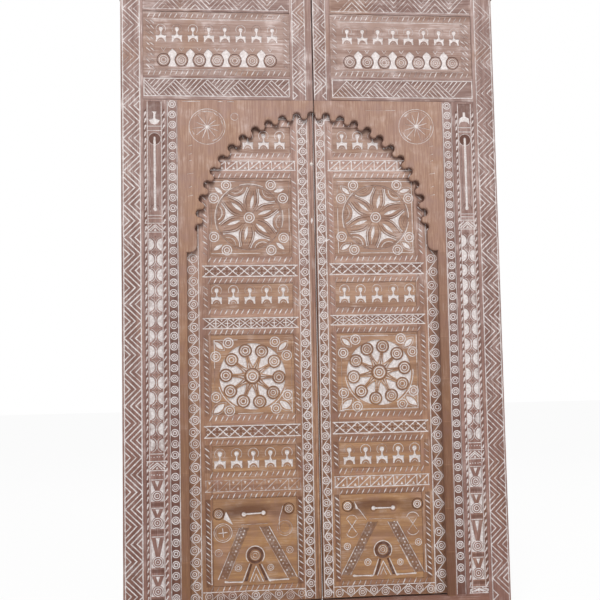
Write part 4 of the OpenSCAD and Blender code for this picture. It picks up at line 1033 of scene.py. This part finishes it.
def side_panel_carving(c, s):
    """Tall narrow panel: niche with a rod, tiles, paired recesses and ring cells between dotted edges."""
    spec = SIDE_PANEL[s]
    mid = spec["mid"]
    x0, x1 = spec["edges"]
    in0, in1 = spec["lines"]
    for dots, inner, lean in zip(spec["dots"], spec["lines"], (2.0, 4.5)):
        line(c, (inner, 104), (inner, 2112), 4.0, 1.6, 0.85)
        for k in range(72):
            z = 110 + 27.5 * k
            line(c, (dots - lean, z - 7), (dots + lean, z + 7), (4.5, 9.5), 2.2, RND.uniform(0.7, 1.1), 0.6)
            line(c, (dots - 2, z + 9), (dots + 2, z + 18), 6.5, 1.8, 0.0, 1.0)
    # Niche: head with its small bell, bars, disc and rod
    n0, n1 = NICHE
    c.sunk(in0 + 3, in1 - 3, n1 - 76, n1 - 4, 2.2, 0.55, 2.0, 0.1)
    c.pocket([(mid + u, n1 + v) for u, v in spec["bell"]], depth=3.4, wall=1.8, paint=spec["bell_white"])
    for z in (n1 - 106, n1 - 124):
        line(c, (in0 + 2, z), (in1 - 2, z), 4.6, 1.8, 0.85)
    disc_z = n1 - 158
    c.pocket(circle(mid, disc_z, 24, 26), [], 1.6, 2.4, 0.0, 0.9)
    c.ring(mid, disc_z, 25, 4.0, 1.6, 0.5, 0.4)
    line(c, (mid, disc_z + 6), (mid, n0 + 42), 12.5, 3.6, 1.0, 0.2)
    c.dot(mid, n0 + 40, 10, 3.8, 1.0, 0.2, 14)
    c.ring(mid, n0 + 40, 19, 4.0, 1.4, 0.1, 0.9, arc=(-10, 190))
    for off in (-17, 17):
        line(c, (mid + off, disc_z - 26), (mid + off, n0 + 30), 3.2, 1.2, 0.25, 0.7)
    for z in (n0 + 4, n0 + 16):
        line(c, (in0, z), (in1, z), 4.2, 1.8, 0.8)
    # Paired recesses with their flats outwards
    first, last = spec["recesses"]
    rows = 14
    pitch = (last - first) / (rows - 1)
    for k in range(rows):
        z = first + k * pitch
        for sx in (-1, 1):
            flat = mid + sx * 27
            arc = [(flat - sx * 23 * math.sin(math.pi * i / 9), z - 26 * math.cos(math.pi * i / 9))
                   for i in range(1, 9)]
            c.pocket([(flat, z - 26)] + arc + [(flat, z + 26)], depth=3.2, wall=2.0,
                     paint=RND.uniform(0.4, 0.8), dirt=0.4)
            turns = np.linspace(0.35, 2.8, 9)
            outer = [(flat - sx * 28.5 * math.sin(t), z - 30 * math.cos(t)) for t in turns]
            c.stroke(outer, 3.8, 1.3, RND.uniform(0.35, 0.8), 0.4)
        c.dot(mid, z + pitch / 2, 4.5, 2.0, 0.2, 1.0)
        line(c, (mid, z - 18), (mid, z + 18), 2.6, 1.2, 0.1, 0.8)
    low_tile = spec["tiles"][1]
    line(c, (in0, low_tile[1] + 29), (in1, low_tile[1] + 29), 4.6, 1.8, 0.85)
    for z in (low_tile[1] + 17, low_tile[0] - 17):
        for k in range(5):
            c.dot(mid + (k - 2) * 11 + wobble(1.5), z + wobble(1), 3.6, 1.8, RND.uniform(0.5, 0.95), 0.5, 7)
    for z0, z1 in spec["tiles"]:
        for z in (z0, z1):
            line(c, (x0 + 4, z), (x1 - 4, z), 4.6, 1.9, 0.9)
        for reach, rise in ((30, 1), (19, 0.7)):
            peak = (mid, z0 + 5 + (z1 - z0 - 11) * rise)
            c.stroke([(mid - reach, z0 + 5), peak, (mid + reach, z0 + 5)], 5.8, 2.1, 1.0, 0.5)
        for sx in (-1, 1):
            line(c, (mid + sx * 34, z0 + 14), (mid + sx * 14, z1 - 5), 5.6, 2.1, 0.9, 0.5)
        triangle(c, mid, z0 + 4, 13, 12, 1.8, 0.9)
    w = (in1 - in0) / 2 - 2
    for z0, z1, ring_z in spec["cells"]:
        ground = [(mid - w, z0 + 4), (mid + w, z0 + 4), (mid + w, z1 - 4), (mid - w, z1 - 4)]
        v = [(mid - w + 1, z1 - 2), (mid - 7, ring_z + 18), (mid + 7, ring_z + 18), (mid + w - 1, z1 - 2)]
        c.pocket(ground, [circle(mid, ring_z, 22, 26), v], 3.4, 2.2, 0.95, 0.25)
        tip = (mid, z1 - 8 - (z1 - ring_z - 22) * 0.6)
        c.pocket([(mid - 9, z1 - 8), (mid + 9, z1 - 8), tip], depth=2.2, wall=2.0, paint=0.85, dirt=0.5)
        line(c, (mid - w + 3, z1 - 4), (mid + w - 3, z1 - 4), 4.2, 1.6, 0.8, 0.4)
        c.rings(mid, ring_z, (18.5, 10.5), 5.2, 1.8, 1.1, 3.8)
        c.sunk(in0 + 3, in1 - 3, z0 - 15, z0 - 1, 0.8, 0.55)


def transom_carving(c, s):
    a, b = sorted((s * 90, s * 678))
    z0, z1 = TRANSOM_LOW, TRANSOM_TOP
    for z in (z0 + 14, z1 - 16):
        rope(c, (a + 6, z), (b - 6, z), 0.7)
    heel = a + 14 if s < 0 else b - 14
    meet = b - 12 if s < 0 else a + 12
    for x, white in ((heel, 0.8), (heel - 16 * s, 0.6), (meet, 0.7)):
        rope(c, (x, z0 + 30), (x, z1 - 30), white)
    line(c, (a + 30, z1 - 32), (b - 30, z1 - 32), 4.5, 1.5, 0.6)
    line(c, (a + 30, z0 + 28), (b - 30, z0 + 28), 4.0, 1.4, 0.35)
    mid = s * 383.5
    for k in range(8):
        figure(c, mid + (k - 3.5) * 65, 2364, 0.92, RND.uniform(0.8, 1.0), RND.uniform(0.1, 0.6))
    spear = [(20, 39), (15, 49), (10, 60), (8.5, 68), (11, 78), (17, 88), (18.5, 96), (12, 104)]
    spear = [(-w, h) for w, h in spear] + [(0, 115)] + spear[::-1]
    for k in range(7):
        x = mid + (k - 3) * 72.5
        c.pocket(circle(x, z0 + 67, 28, 28), [circle(x, z0 + 67, 24.5, 26)], 2.2, 1.2, 0.0, 1.0)
        c.rings(x, z0 + 67, (18, 10), 4.2, 1.7, 0.85, 3.0)
        if k < 6:
            c.pocket([(x + 36.25 + w, z0 + h) for w, h in spear], depth=3.2, wall=1.8, paint=0.95, dirt=0.4)
        c.stroke([(x - 9, z0 + 118), (x, z0 + 105), (x + 9, z0 + 118)], 3.6, 1.5, 0.6, 0.4)


def astragal_carving():
    c = Carving()
    line(c, (-6.5, 110), (-6.5, 2098), 2.6, 1.0, 0.1, 0.6)
    # Painted shade: a dark line beside the gap between the leaves
    line(c, (4.6, 104), (4.6, 2104), 4.6, 0.7, 0.0, 1.2)
    c.pocket(lens(-5.0, 1627, 28, 9, 84, 7), depth=2.0, wall=1.5, paint=0.9, dirt=0.8)
    return c


# Materials
def linear(r, g, b):
    return tuple((v / 255 / 12.92 if v / 255 <= 0.04045 else ((v / 255 + 0.055) / 1.055) ** 2.4)
                 for v in (r, g, b)) + (1.0,)


class Nodes:
    """Small helper that adds and links shader nodes."""

    def __init__(self, owner):
        owner.use_nodes = True
        self.tree = owner.node_tree
        self.tree.nodes.clear()

    def add(self, kind, values=None, **settings):
        node = self.tree.nodes.new(kind)
        for key, value in settings.items():
            setattr(node, key, value)
        for key, value in (values or {}).items():
            if isinstance(value, bpy.types.NodeSocket):
                self.tree.links.new(value, node.inputs[key])
            else:
                node.inputs[key].default_value = value
        return node

    def math(self, kind, a, b=0.0, clamp=False):
        return self.add("ShaderNodeMath", {0: a, 1: b}, operation=kind, use_clamp=clamp).outputs[0]

    def times(self, a, b, clamp=False):
        return self.math("MULTIPLY", a, b, clamp)

    def plus(self, a, b):
        return self.math("ADD", a, b)

    def span(self, value, low, high, to_low=0.0, to_high=1.0):
        return self.add("ShaderNodeMapRange", {0: value, 1: low, 2: high, 3: to_low, 4: to_high},
                        interpolation_type="SMOOTHSTEP").outputs[0]

    def mix(self, share, a, b):
        node = self.add("ShaderNodeMix", {0: share, 6: a, 7: b}, data_type="RGBA", blend_type="MIX")
        return node.outputs[2]

    def vector(self, kind, a, b):
        return self.add("ShaderNodeVectorMath", {0: a, 1: b}, operation=kind).outputs[0]

    def noise(self, vector, scale, detail=3.0, rough=0.55):
        return self.add("ShaderNodeTexNoise", {"Vector": vector, "Scale": scale, "Detail": detail,
                                               "Roughness": rough}).outputs["Fac"]

    def attribute(self, name):
        return self.add("ShaderNodeAttribute", attribute_name=name).outputs["Fac"]

    def surface(self, colour, rough, relief, bump, distance, more):
        """Principled surface with a bump, put out as the material."""
        normal = self.add("ShaderNodeBump", {"Strength": bump, "Distance": distance, "Height": relief})
        shader = self.add("ShaderNodeBsdfPrincipled", {"Base Color": colour, "Roughness": rough,
                                                       "Normal": normal.outputs[0], **more})
        self.add("ShaderNodeOutputMaterial", {0: shader.outputs[0]})


# The last of these three colours darkens both real grime and painted shade
OCHRE, HAZE, GRIME_AND_SHADE = linear(170, 128, 82), linear(206, 190, 187), linear(84, 52, 42)
CHALK_DARK, CHALK_LIGHT, CHALK_HIGH = linear(199, 190, 188), linear(227, 222, 222), linear(208, 199, 197)


def wood(name, grain, low, high, streak=0.5, paint_amount=1.0, haze=1.0):
    """Weathered carved wood, grain along x or z, redder below, paler above, white in the cuts."""
    material = bpy.data.materials.new(name)
    n = Nodes(material)
    tinted = lambda *shares: linear(*(v * share for v, share in zip(low, shares)))
    place = n.add("ShaderNodeTexCoord").outputs["Object"]
    tone = n.attribute("tone")
    shift = n.add("ShaderNodeCombineXYZ", {k: n.times(tone, v) for k, v in enumerate((7.3, 3.1, 11.7))})
    moved = n.vector("ADD", place, shift.outputs[0])
    along = n.vector("MULTIPLY", moved, {"x": (0.05, 1.0, 1.0), "z": (1.0, 1.0, 0.05)}[grain])
    height = n.add("ShaderNodeSeparateXYZ", {0: place}).outputs[2]

    clouds = n.noise(moved, 3.2, 4.0, 0.6)
    patches = n.noise(moved, 14.0, 4.0, 0.6)
    streaks = n.noise(along, 38.0, 4.0, 0.6)
    fibres = n.noise(along, 260.0, 3.0, 0.6)
    speck = n.noise(moved, 420.0, 2.0, 0.5)

    # Wood: colour by height, ochre where it is warm, darker streaks and fibres, pale haze, and darkening that
    # is partly grime and partly painted shade
    rise = n.span(n.plus(height, n.times(n.math("SUBTRACT", clouds, 0.5), 0.9)), 0.1, 2.5)
    body = n.mix(rise, linear(*low), linear(*high))
    body = n.mix(n.times(n.attribute("warm"), n.span(patches, 0.25, 0.6), True), body, OCHRE)
    body = n.mix(n.times(n.span(clouds, 0.52, 0.72), 0.3), body, OCHRE)
    body = n.mix(n.times(n.span(streaks, 0.62, 0.36), streak), body, tinted(0.66, 0.60, 0.59))
    body = n.mix(n.times(n.span(fibres, 0.64, 0.38), 0.34), body, tinted(0.74, 0.69, 0.68))
    pale = n.times(n.times(n.span(patches, 0.46, 0.72), n.span(fibres, 0.35, 0.65)),
                   n.times(n.plus(n.times(rise, 0.45), 0.36), haze))
    body = n.mix(pale, body, HAZE)
    # This darkening is grime, and painted shade in the cuts, on walls, under the arch's scallops and beside
    # the gap between the leaves
    grime_and_shade = n.times(n.attribute("dirt"), n.span(patches, 0.1, 0.6, 0.62, 0.95), True)
    body = n.mix(grime_and_shade, body, GRIME_AND_SHADE)
    # White residue, uneven, strong in the cuts and a trace beside them
    uneven = n.plus(n.times(n.noise(moved, 60.0, 3.0), 1.5), n.times(patches, 0.9))
    film = n.times(n.attribute("paint"), n.math("SUBTRACT", uneven, 0.2))
    film = n.plus(film, n.times(n.math("SUBTRACT", uneven, 1.2), 0.1))
    film = n.times(n.span(film, 0.04, 0.56), paint_amount * 0.97, True)
    chalk = n.mix(n.span(n.noise(moved, 130.0, 2.0), 0.35, 0.7), CHALK_DARK, CHALK_LIGHT)
    chalk = n.mix(n.times(rise, 0.25), chalk, CHALK_HIGH)
    relief = n.plus(n.times(fibres, 0.7), n.plus(n.times(streaks, 0.8), n.times(speck, 0.25)))
    n.surface(n.mix(film, body, chalk), n.span(fibres, 0.3, 0.7, 0.68, 0.9), relief, 0.55, 0.0012,
              {"Specular IOR Level": 0.12})
    return material


def worn_metal(name):
    material = bpy.data.materials.new(name)
    n = Nodes(material)
    spots = n.noise(n.add("ShaderNodeTexCoord").outputs["Object"], 420.0, 4.0)
    colour = n.mix(n.span(spots, 0.4, 0.65), linear(226, 221, 216), linear(170, 156, 148))
    n.surface(colour, n.span(spots, 0.3, 0.7, 0.3, 0.6), spots, 0.4, 0.0004, {"Metallic": 0.6})
    return material


GATE_UPRIGHT = wood("gate_wood_upright", "z", (150, 115, 105), (166, 143, 137))
GATE_LEVEL = wood("gate_wood_level", "x", (146, 108, 95), (165, 144, 139))
BOARD = wood("arch_board_wood", "z", (150, 113, 97), (167, 140, 131), streak=0.1, haze=0.6)
WICKET_UPRIGHT = wood("wicket_wood_upright", "z", (156, 119, 104), (188, 162, 155))
WICKET_LEVEL = wood("wicket_wood_level", "x", (164, 127, 112), (194, 168, 160))
PANEL = wood("panel_wood", "x", (172, 136, 115), (168, 147, 140))
FRAME_UPRIGHT = wood("frame_wood_upright", "z", (118, 84, 66), (132, 104, 90), paint_amount=0.0, haze=0.5)
FRAME_LEVEL = wood("frame_wood_level", "x", (118, 84, 66), (132, 104, 90), paint_amount=0.0, haze=0.5)
PEG = wood("peg_wood", "z", (112, 78, 58), (124, 94, 78), paint_amount=0.0, haze=0.4)
METAL = worn_metal("stud_metal")


# Pieces
# Where the scallops begin in the arch's outline
SCALLOPS_FROM = 9


def arch_outline(s):
    """The arch board's inner edge in u and z: leg, step, and from SCALLOPS_FROM the scallops."""
    edge = MEETING_EDGE[s]
    centre, radius, notch, lobe, count = 1595.0, 465.0, 17.0, 13.6, 12
    turn_u, turn_r = 502.0, 28.0
    turn_z, spring_u = LEG_TOP + turn_r, turn_u - turn_r
    step = math.radians(90 / count)
    path = [(BOARD_IN, BAY_LOW), (BOARD_IN, LEG_TOP), (turn_u, LEG_TOP)]
    for k in range(1, 6):
        out = polar(math.radians(270 - 90 * k / 6))[0] * turn_r
        path.append((turn_u + out[0], turn_z + out[1]))
    path.append((spring_u, turn_z))
    path.append((spring_u, centre - math.sqrt(notch ** 2 - (spring_u - radius) ** 2)))

    def arc(phi, size, start, end, parts):
        c0 = (radius * math.cos(phi), centre + radius * math.sin(phi))
        return [(c0[0] + size * math.cos(phi + t), c0[1] + size * math.sin(phi + t))
                for t in np.linspace(start, end, parts)]

    path += arc(0, notch, -math.radians(48), math.pi / 2, 9)
    for k in range(count):
        path += arc((k + 0.5) * step, lobe, -math.pi / 2, -1.5 * math.pi, 11)[1:-1]
        if k < count - 1:
            path += arc((k + 1) * step, notch, -math.pi / 2, math.pi / 2, 11)
    last = [p for p in arc(math.pi / 2, notch, -math.pi / 2, math.pi / 2, 41) if p[0] > edge]
    path += last[::2]
    path.append((edge, centre + radius + math.sqrt(notch ** 2 - edge ** 2)))
    return np.array(path)


def arch_board(s, carving):
    """Board with half of the scalloped arch, its inner edge well rounded."""
    path = arch_outline(s) * (s, 1)
    top, r = 2120.8, 9.0
    corners = [(MEETING_EDGE[s] * s, top), (BOARD_OUT * s, top), (BOARD_OUT * s, BAY_LOW),
               (BOARD_IN * s, BAY_LOW), (BOARD_IN * s, LEG_TOP)]
    sides = [split_line(a, b) for a, b in zip(corners, corners[1:])]
    outline = np.vstack([sides[3], path[1:]] + sides[:3])
    sign = 1 if np.allclose(counter_clockwise(outline)[0], outline[0]) else -1
    inner = np.vstack([sides[3][:1], path[1:]])

    def edge_rule(p):
        into = np.clip(near(p, inner)[0] / r, 0, 1)
        return r * 0.62 * (1 - np.sqrt(np.clip(1 - (1 - into) ** 2, 0, 1)))

    # Its inner walls get painted shade, darkening the shadow in the scallops
    return skin(outline, 0, BOARD_BACK, carving, [beside(inner, gap * sign) for gap in (2.2, 5.5, r)],
                edge_rule, waves=0.9, seed=40 + s, grid=16, wall_dirt=0.7,
                warm=lambda p: np.clip(0.4 * undulation(p * 1.7, 5), 0, 0.5) + warmth(p) * 0.4)


def round_heel(end, axis, depth_axis, r, most, first, s, steps=9):
    """Wall levels for a heel edge that is round about its pivot."""
    def walls(rim):
        found = []
        start = end - 50
        for k in range(steps):
            depth = first + (GATE_BACK - first) * k / (steps - 1)
            reach = min(math.sqrt(max(r * r - (depth - depth_axis) ** 2, 0)), most)
            far = np.abs(rim[:, 0])
            moved = start + (far - start) * (axis + reach - 0.2 - start) / (end - 0.2 - start)
            place = rim.copy()
            place[:, 0] = np.where(far > start, moved, far) * s
            found.append((place, np.full(len(rim), depth)))
        return found

    return walls


def build_leaf(s):
    """Both leaves of one side. Each box is given outwards from the middle, its wear from the inner edge."""
    gate, wicket = gate_carving(s), wicket_carving(s)
    g, w = "gate_" + SIDE[s], "wicket_" + SIDE[s]
    meet = MEETING_EDGE[s]

    def box(u0, u1, z0, z1, front, back, carving, seed, wear, **kw):
        if s < 0:
            wear = (wear[1], wear[0], *wear[2:])
        return worn_box(*sorted((s * u0, s * u1)), z0, z1, front, back, carving, wear, seed=seed + s, **kw)

    def backing(u0, u1, z0, z1, front, seed):
        return box(u0, u1, z0, z1, front, GATE_BACK, None, seed, (0.5, 0.5, 0.5, 0.5), grid=60)

    def keep(name, slot_name, material, *parts):
        mesh_object(name, parts, w if name.startswith("wicket") else g, material)

    # Gate leaf
    keep(g + "_heel_stile", "gate_wood", GATE_UPRIGHT,
         box(HEEL_IN, GATE_EDGE, LEAF_LOW, LEAF_TOP, 0, GATE_BACK, gate, 11, (0.8, 3.2, 1.5, 1.5),
             walls=round_heel(GATE_EDGE, GATE_AXIS, GATE_AXIS_DEPTH, 30.5, 30, 30, s)),
         *(round_post(s * GATE_AXIS, GATE_AXIS_DEPTH, low, high, GATE_PIVOT)
           for low, high in ((6.3, LEAF_LOW + 1), (LEAF_TOP - 1, 2617.7))))
    keep(g + "_post", "gate_wood", GATE_UPRIGHT,
         box(BOARD_OUT, 589, BAY_LOW, BAY_TOP, 0, BOARD_BACK, gate, 13, (1.4, 1.8, 0.5, 0.5)),
         backing(566, HEEL_IN, BAY_LOW, LAP_TOP, 22.3, 15))
    keep(g + "_side_panel", "panel_wood", GATE_UPRIGHT,
         box(589, HEEL_IN, BAY_LOW, BAY_TOP, 1.5, BOARD_BACK, gate, 17, (1.5, 1.5, 0.6, 0.6)))
    keep(g + "_arch_board", "gate_wood", BOARD, arch_board(s, gate))
    keep(g + "_herringbone_rail", "gate_wood", GATE_LEVEL,
         box(STILE_IN, HEEL_IN, BAY_TOP, TRANSOM_LOW, 0, GATE_BACK, gate, 19, (0.6, 0.6, 2.6, 1.8)),
         backing(STILE_IN, HEEL_IN, LAP_TOP, BAY_TOP + 0.6, TONGUE_FRONT, 20))
    keep(g + "_top_rail", "gate_wood", GATE_LEVEL,
         box(STILE_IN, HEEL_IN, TRANSOM_TOP, LEAF_TOP, 0, GATE_BACK, gate, 21, (0.6, 0.6, 1.8, 1.5)))
    keep(g + "_transom_panel", "panel_wood", PANEL,
         box(STILE_IN, HEEL_IN, TRANSOM_LOW, TRANSOM_TOP, *TRANSOM_DEPTHS, gate, 23, (0.4, 0.4, 0.4, 0.4)))
    # The meeting stiles' walls get painted shade, darkening the gap between the leaves
    keep(g + "_meeting_stile", "gate_wood", GATE_UPRIGHT,
         box(meet, STILE_IN, BAY_TOP, LEAF_TOP, 0, GATE_BACK, gate, 25, (2.0, 0.8, 1.0, 1.5),
             wall_dirt=1.0),
         backing(meet, STILE_IN, LAP_TOP, BAY_TOP + 0.6, TONGUE_FRONT, 26))
    keep(g + "_bottom_rail", "gate_wood", GATE_LEVEL,
         box(meet, HEEL_IN, LEAF_LOW, BAY_LOW, 0, GATE_BACK, None, 27, (0.6, 0.6, 1.8, 1.8), grid=30))

    # Wicket leaf
    def upright(u0, u1, carving, seed, wear, **kw):
        return box(u0, u1, WICKET_LOW, WICKET_TOP, WICKET_FRONT, GATE_BACK, carving, seed, wear,
                   warm=warmth, **kw)

    keep(w + "_heel_stile", "wicket_wood", WICKET_UPRIGHT,
         upright(RAIL_OUT, WICKET_EDGE, wicket, 31, (1.0, 0.4, 1.2, 1.2),
                 walls=round_heel(WICKET_EDGE, WICKET_AXIS, WICKET_AXIS_DEPTH, 18.5, 18.5, 26.5, s)),
         *(round_post(s * WICKET_AXIS, WICKET_AXIS_DEPTH, low, high, WICKET_PIVOT)
           for low, high in ((96.4, WICKET_LOW + 1), (WICKET_TOP - 1, 2108.6))))
    # The wicket's meeting stile and the astragal get painted shade on their walls, for the gap between the
    # leaves
    keep(w + "_meeting_stile", "wicket_wood", WICKET_UPRIGHT,
         upright(11, RAIL_IN, wicket, 33, (0.8, 1.0, 1.2, 1.2), wall_dirt=1.0))
    if s < 0:
        keep(w + "_astragal", "wicket_wood", WICKET_UPRIGHT,
             upright(11, -7, astragal_carving(), 36, (0.8, 1.8, 1.2, 1.2), wall_dirt=1.0))
    for k, name in enumerate(RAILS):
        keep(w + "_" + name, "wicket_wood", WICKET_LEVEL,
             box(RAIL_IN, RAIL_OUT, *levels_of(w + "_" + name), WICKET_FRONT, GATE_BACK, wicket, 50 + k,
                 (0.3, 0.3, 1.4, 1.4), warm=warmth))
    for k, name in enumerate(("compass_panel", "figures_low", "wheel_panel", "figures_mid", "rosette_panel",
                              "figures_high")):
        low, high = levels_of(w + "_" + name)
        keep(w + "_" + name, "panel_wood", PANEL,
             box(RAIL_IN, RAIL_OUT, low + 8, high - 8, *WICKET_PANEL_DEPTHS, wicket, 70 + k,
                 (0.2, 0.2, 0.2, 0.2), warm=lambda p: np.minimum(warmth(p) * 1.4, 1.0)))


build_leaf(-1)
build_leaf(1)

# Pieces that stay as packed, with their own wood
for node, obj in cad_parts.items():
    if obj.hide_render:
        continue
    if node.endswith("_stud"):
        material = METAL
    elif node.endswith("_pegs"):
        material = PEG
    elif node in ("frame_head", "frame_sill"):
        material = FRAME_LEVEL
    else:
        material = FRAME_UPRIGHT
    obj.data.materials.clear()
    obj.data.materials.append(material)

# Floor and world, white to the camera and to mirror rays
WHITE = (1.0, 1.0, 1.0, 1.0)
floor_material = bpy.data.materials.new("pale_floor")
n = Nodes(floor_material)
ground = n.add("ShaderNodeBsdfPrincipled", {"Base Color": (0.86, 0.86, 0.86, 1.0), "Roughness": 0.9})
pale = n.add("ShaderNodeEmission", {"Color": WHITE, "Strength": 1.0})
rays = n.add("ShaderNodeLightPath").outputs
share = n.times(n.math("MAXIMUM", rays["Is Camera Ray"], rays["Is Glossy Ray"]), 0.93)
seen = n.add("ShaderNodeMixShader", {0: share, 1: ground.outputs[0], 2: pale.outputs[0]})
n.add("ShaderNodeOutputMaterial", {0: seen.outputs[0]})
floor_mesh = bpy.data.meshes.new("floor")
floor_mesh.from_pydata([(-12, -12, 0), (12, -12, 0), (12, 12, 0), (-12, 12, 0)], [], [(0, 1, 2, 3)])
floor_mesh.materials.append(floor_material)
floor_obj = bpy.data.objects.new("floor", floor_mesh)
bpy.context.scene.collection.objects.link(floor_obj)

world = bpy.data.worlds.new("pale_world")
bpy.context.scene.world = world
n = Nodes(world)
rays = n.add("ShaderNodeLightPath").outputs
mirrored = n.math("MAXIMUM", rays["Is Glossy Ray"], rays["Is Transmission Ray"])
share = n.math("MAXIMUM", rays["Is Camera Ray"], mirrored)
soft = n.add("ShaderNodeBackground", {0: (1.0, 0.985, 0.97, 1.0), 1: 0.5})
white = n.add("ShaderNodeBackground", {0: WHITE, 1: 1.0})
both = n.add("ShaderNodeMixShader", {0: share, 1: soft.outputs[0], 2: white.outputs[0]})
n.add("ShaderNodeOutputWorld", {0: both.outputs[0]})


def lamp(name, place, aim, size, power):
    data = bpy.data.lights.new(name, "AREA")
    data.shape = "DISK"
    data.size = size
    data.energy = power
    obj = bpy.data.objects.new(name, data)
    obj.location = place
    obj.rotation_mode = "QUATERNION"
    obj.rotation_quaternion = (Vector(aim) - Vector(place)).to_track_quat("-Z", "Y")
    bpy.context.scene.collection.objects.link(obj)


lamp("key", (-0.9, -3.7, 4.8), (0, 0, 1.2), 1.6, 156)
lamp("fill", (3.2, -3.0, 2.0), (0, 0, 1.2), 2.4, 42)
lamp("back", (0.5, 3.6, 3.4), (0, 0, 1.3), 2.4, 60)

# Camera at the photograph's viewing angle
yaw, pitch, roll = 0.0881, 0.0619, -0.0191
focal_px, photo_px, sensor = 804.0, 600.0, 36.0
ahead = Vector((math.sin(yaw) * math.cos(pitch), math.cos(yaw) * math.cos(pitch), math.sin(pitch)))
level = Vector((math.cos(yaw), -math.sin(yaw), 0))
above = level.cross(ahead)
right = math.cos(roll) * level + math.sin(roll) * above
up = -math.sin(roll) * level + math.cos(roll) * above
camera = bpy.data.objects.new("camera", bpy.data.cameras.new("camera"))
camera.data.sensor_width = sensor
camera.data.lens = sensor * focal_px / photo_px
camera.data.clip_end = 100.0
spot = Vector((-0.348, -3.308, 1.097))
camera.matrix_world = Matrix(((right.x, up.x, -ahead.x, spot.x), (right.y, up.y, -ahead.y, spot.y),
                              (right.z, up.z, -ahead.z, spot.z), (0, 0, 0, 1)))
bpy.context.scene.collection.objects.link(camera)
bpy.context.scene.camera = camera
bpy.context.scene.view_settings.view_transform = "Standard"
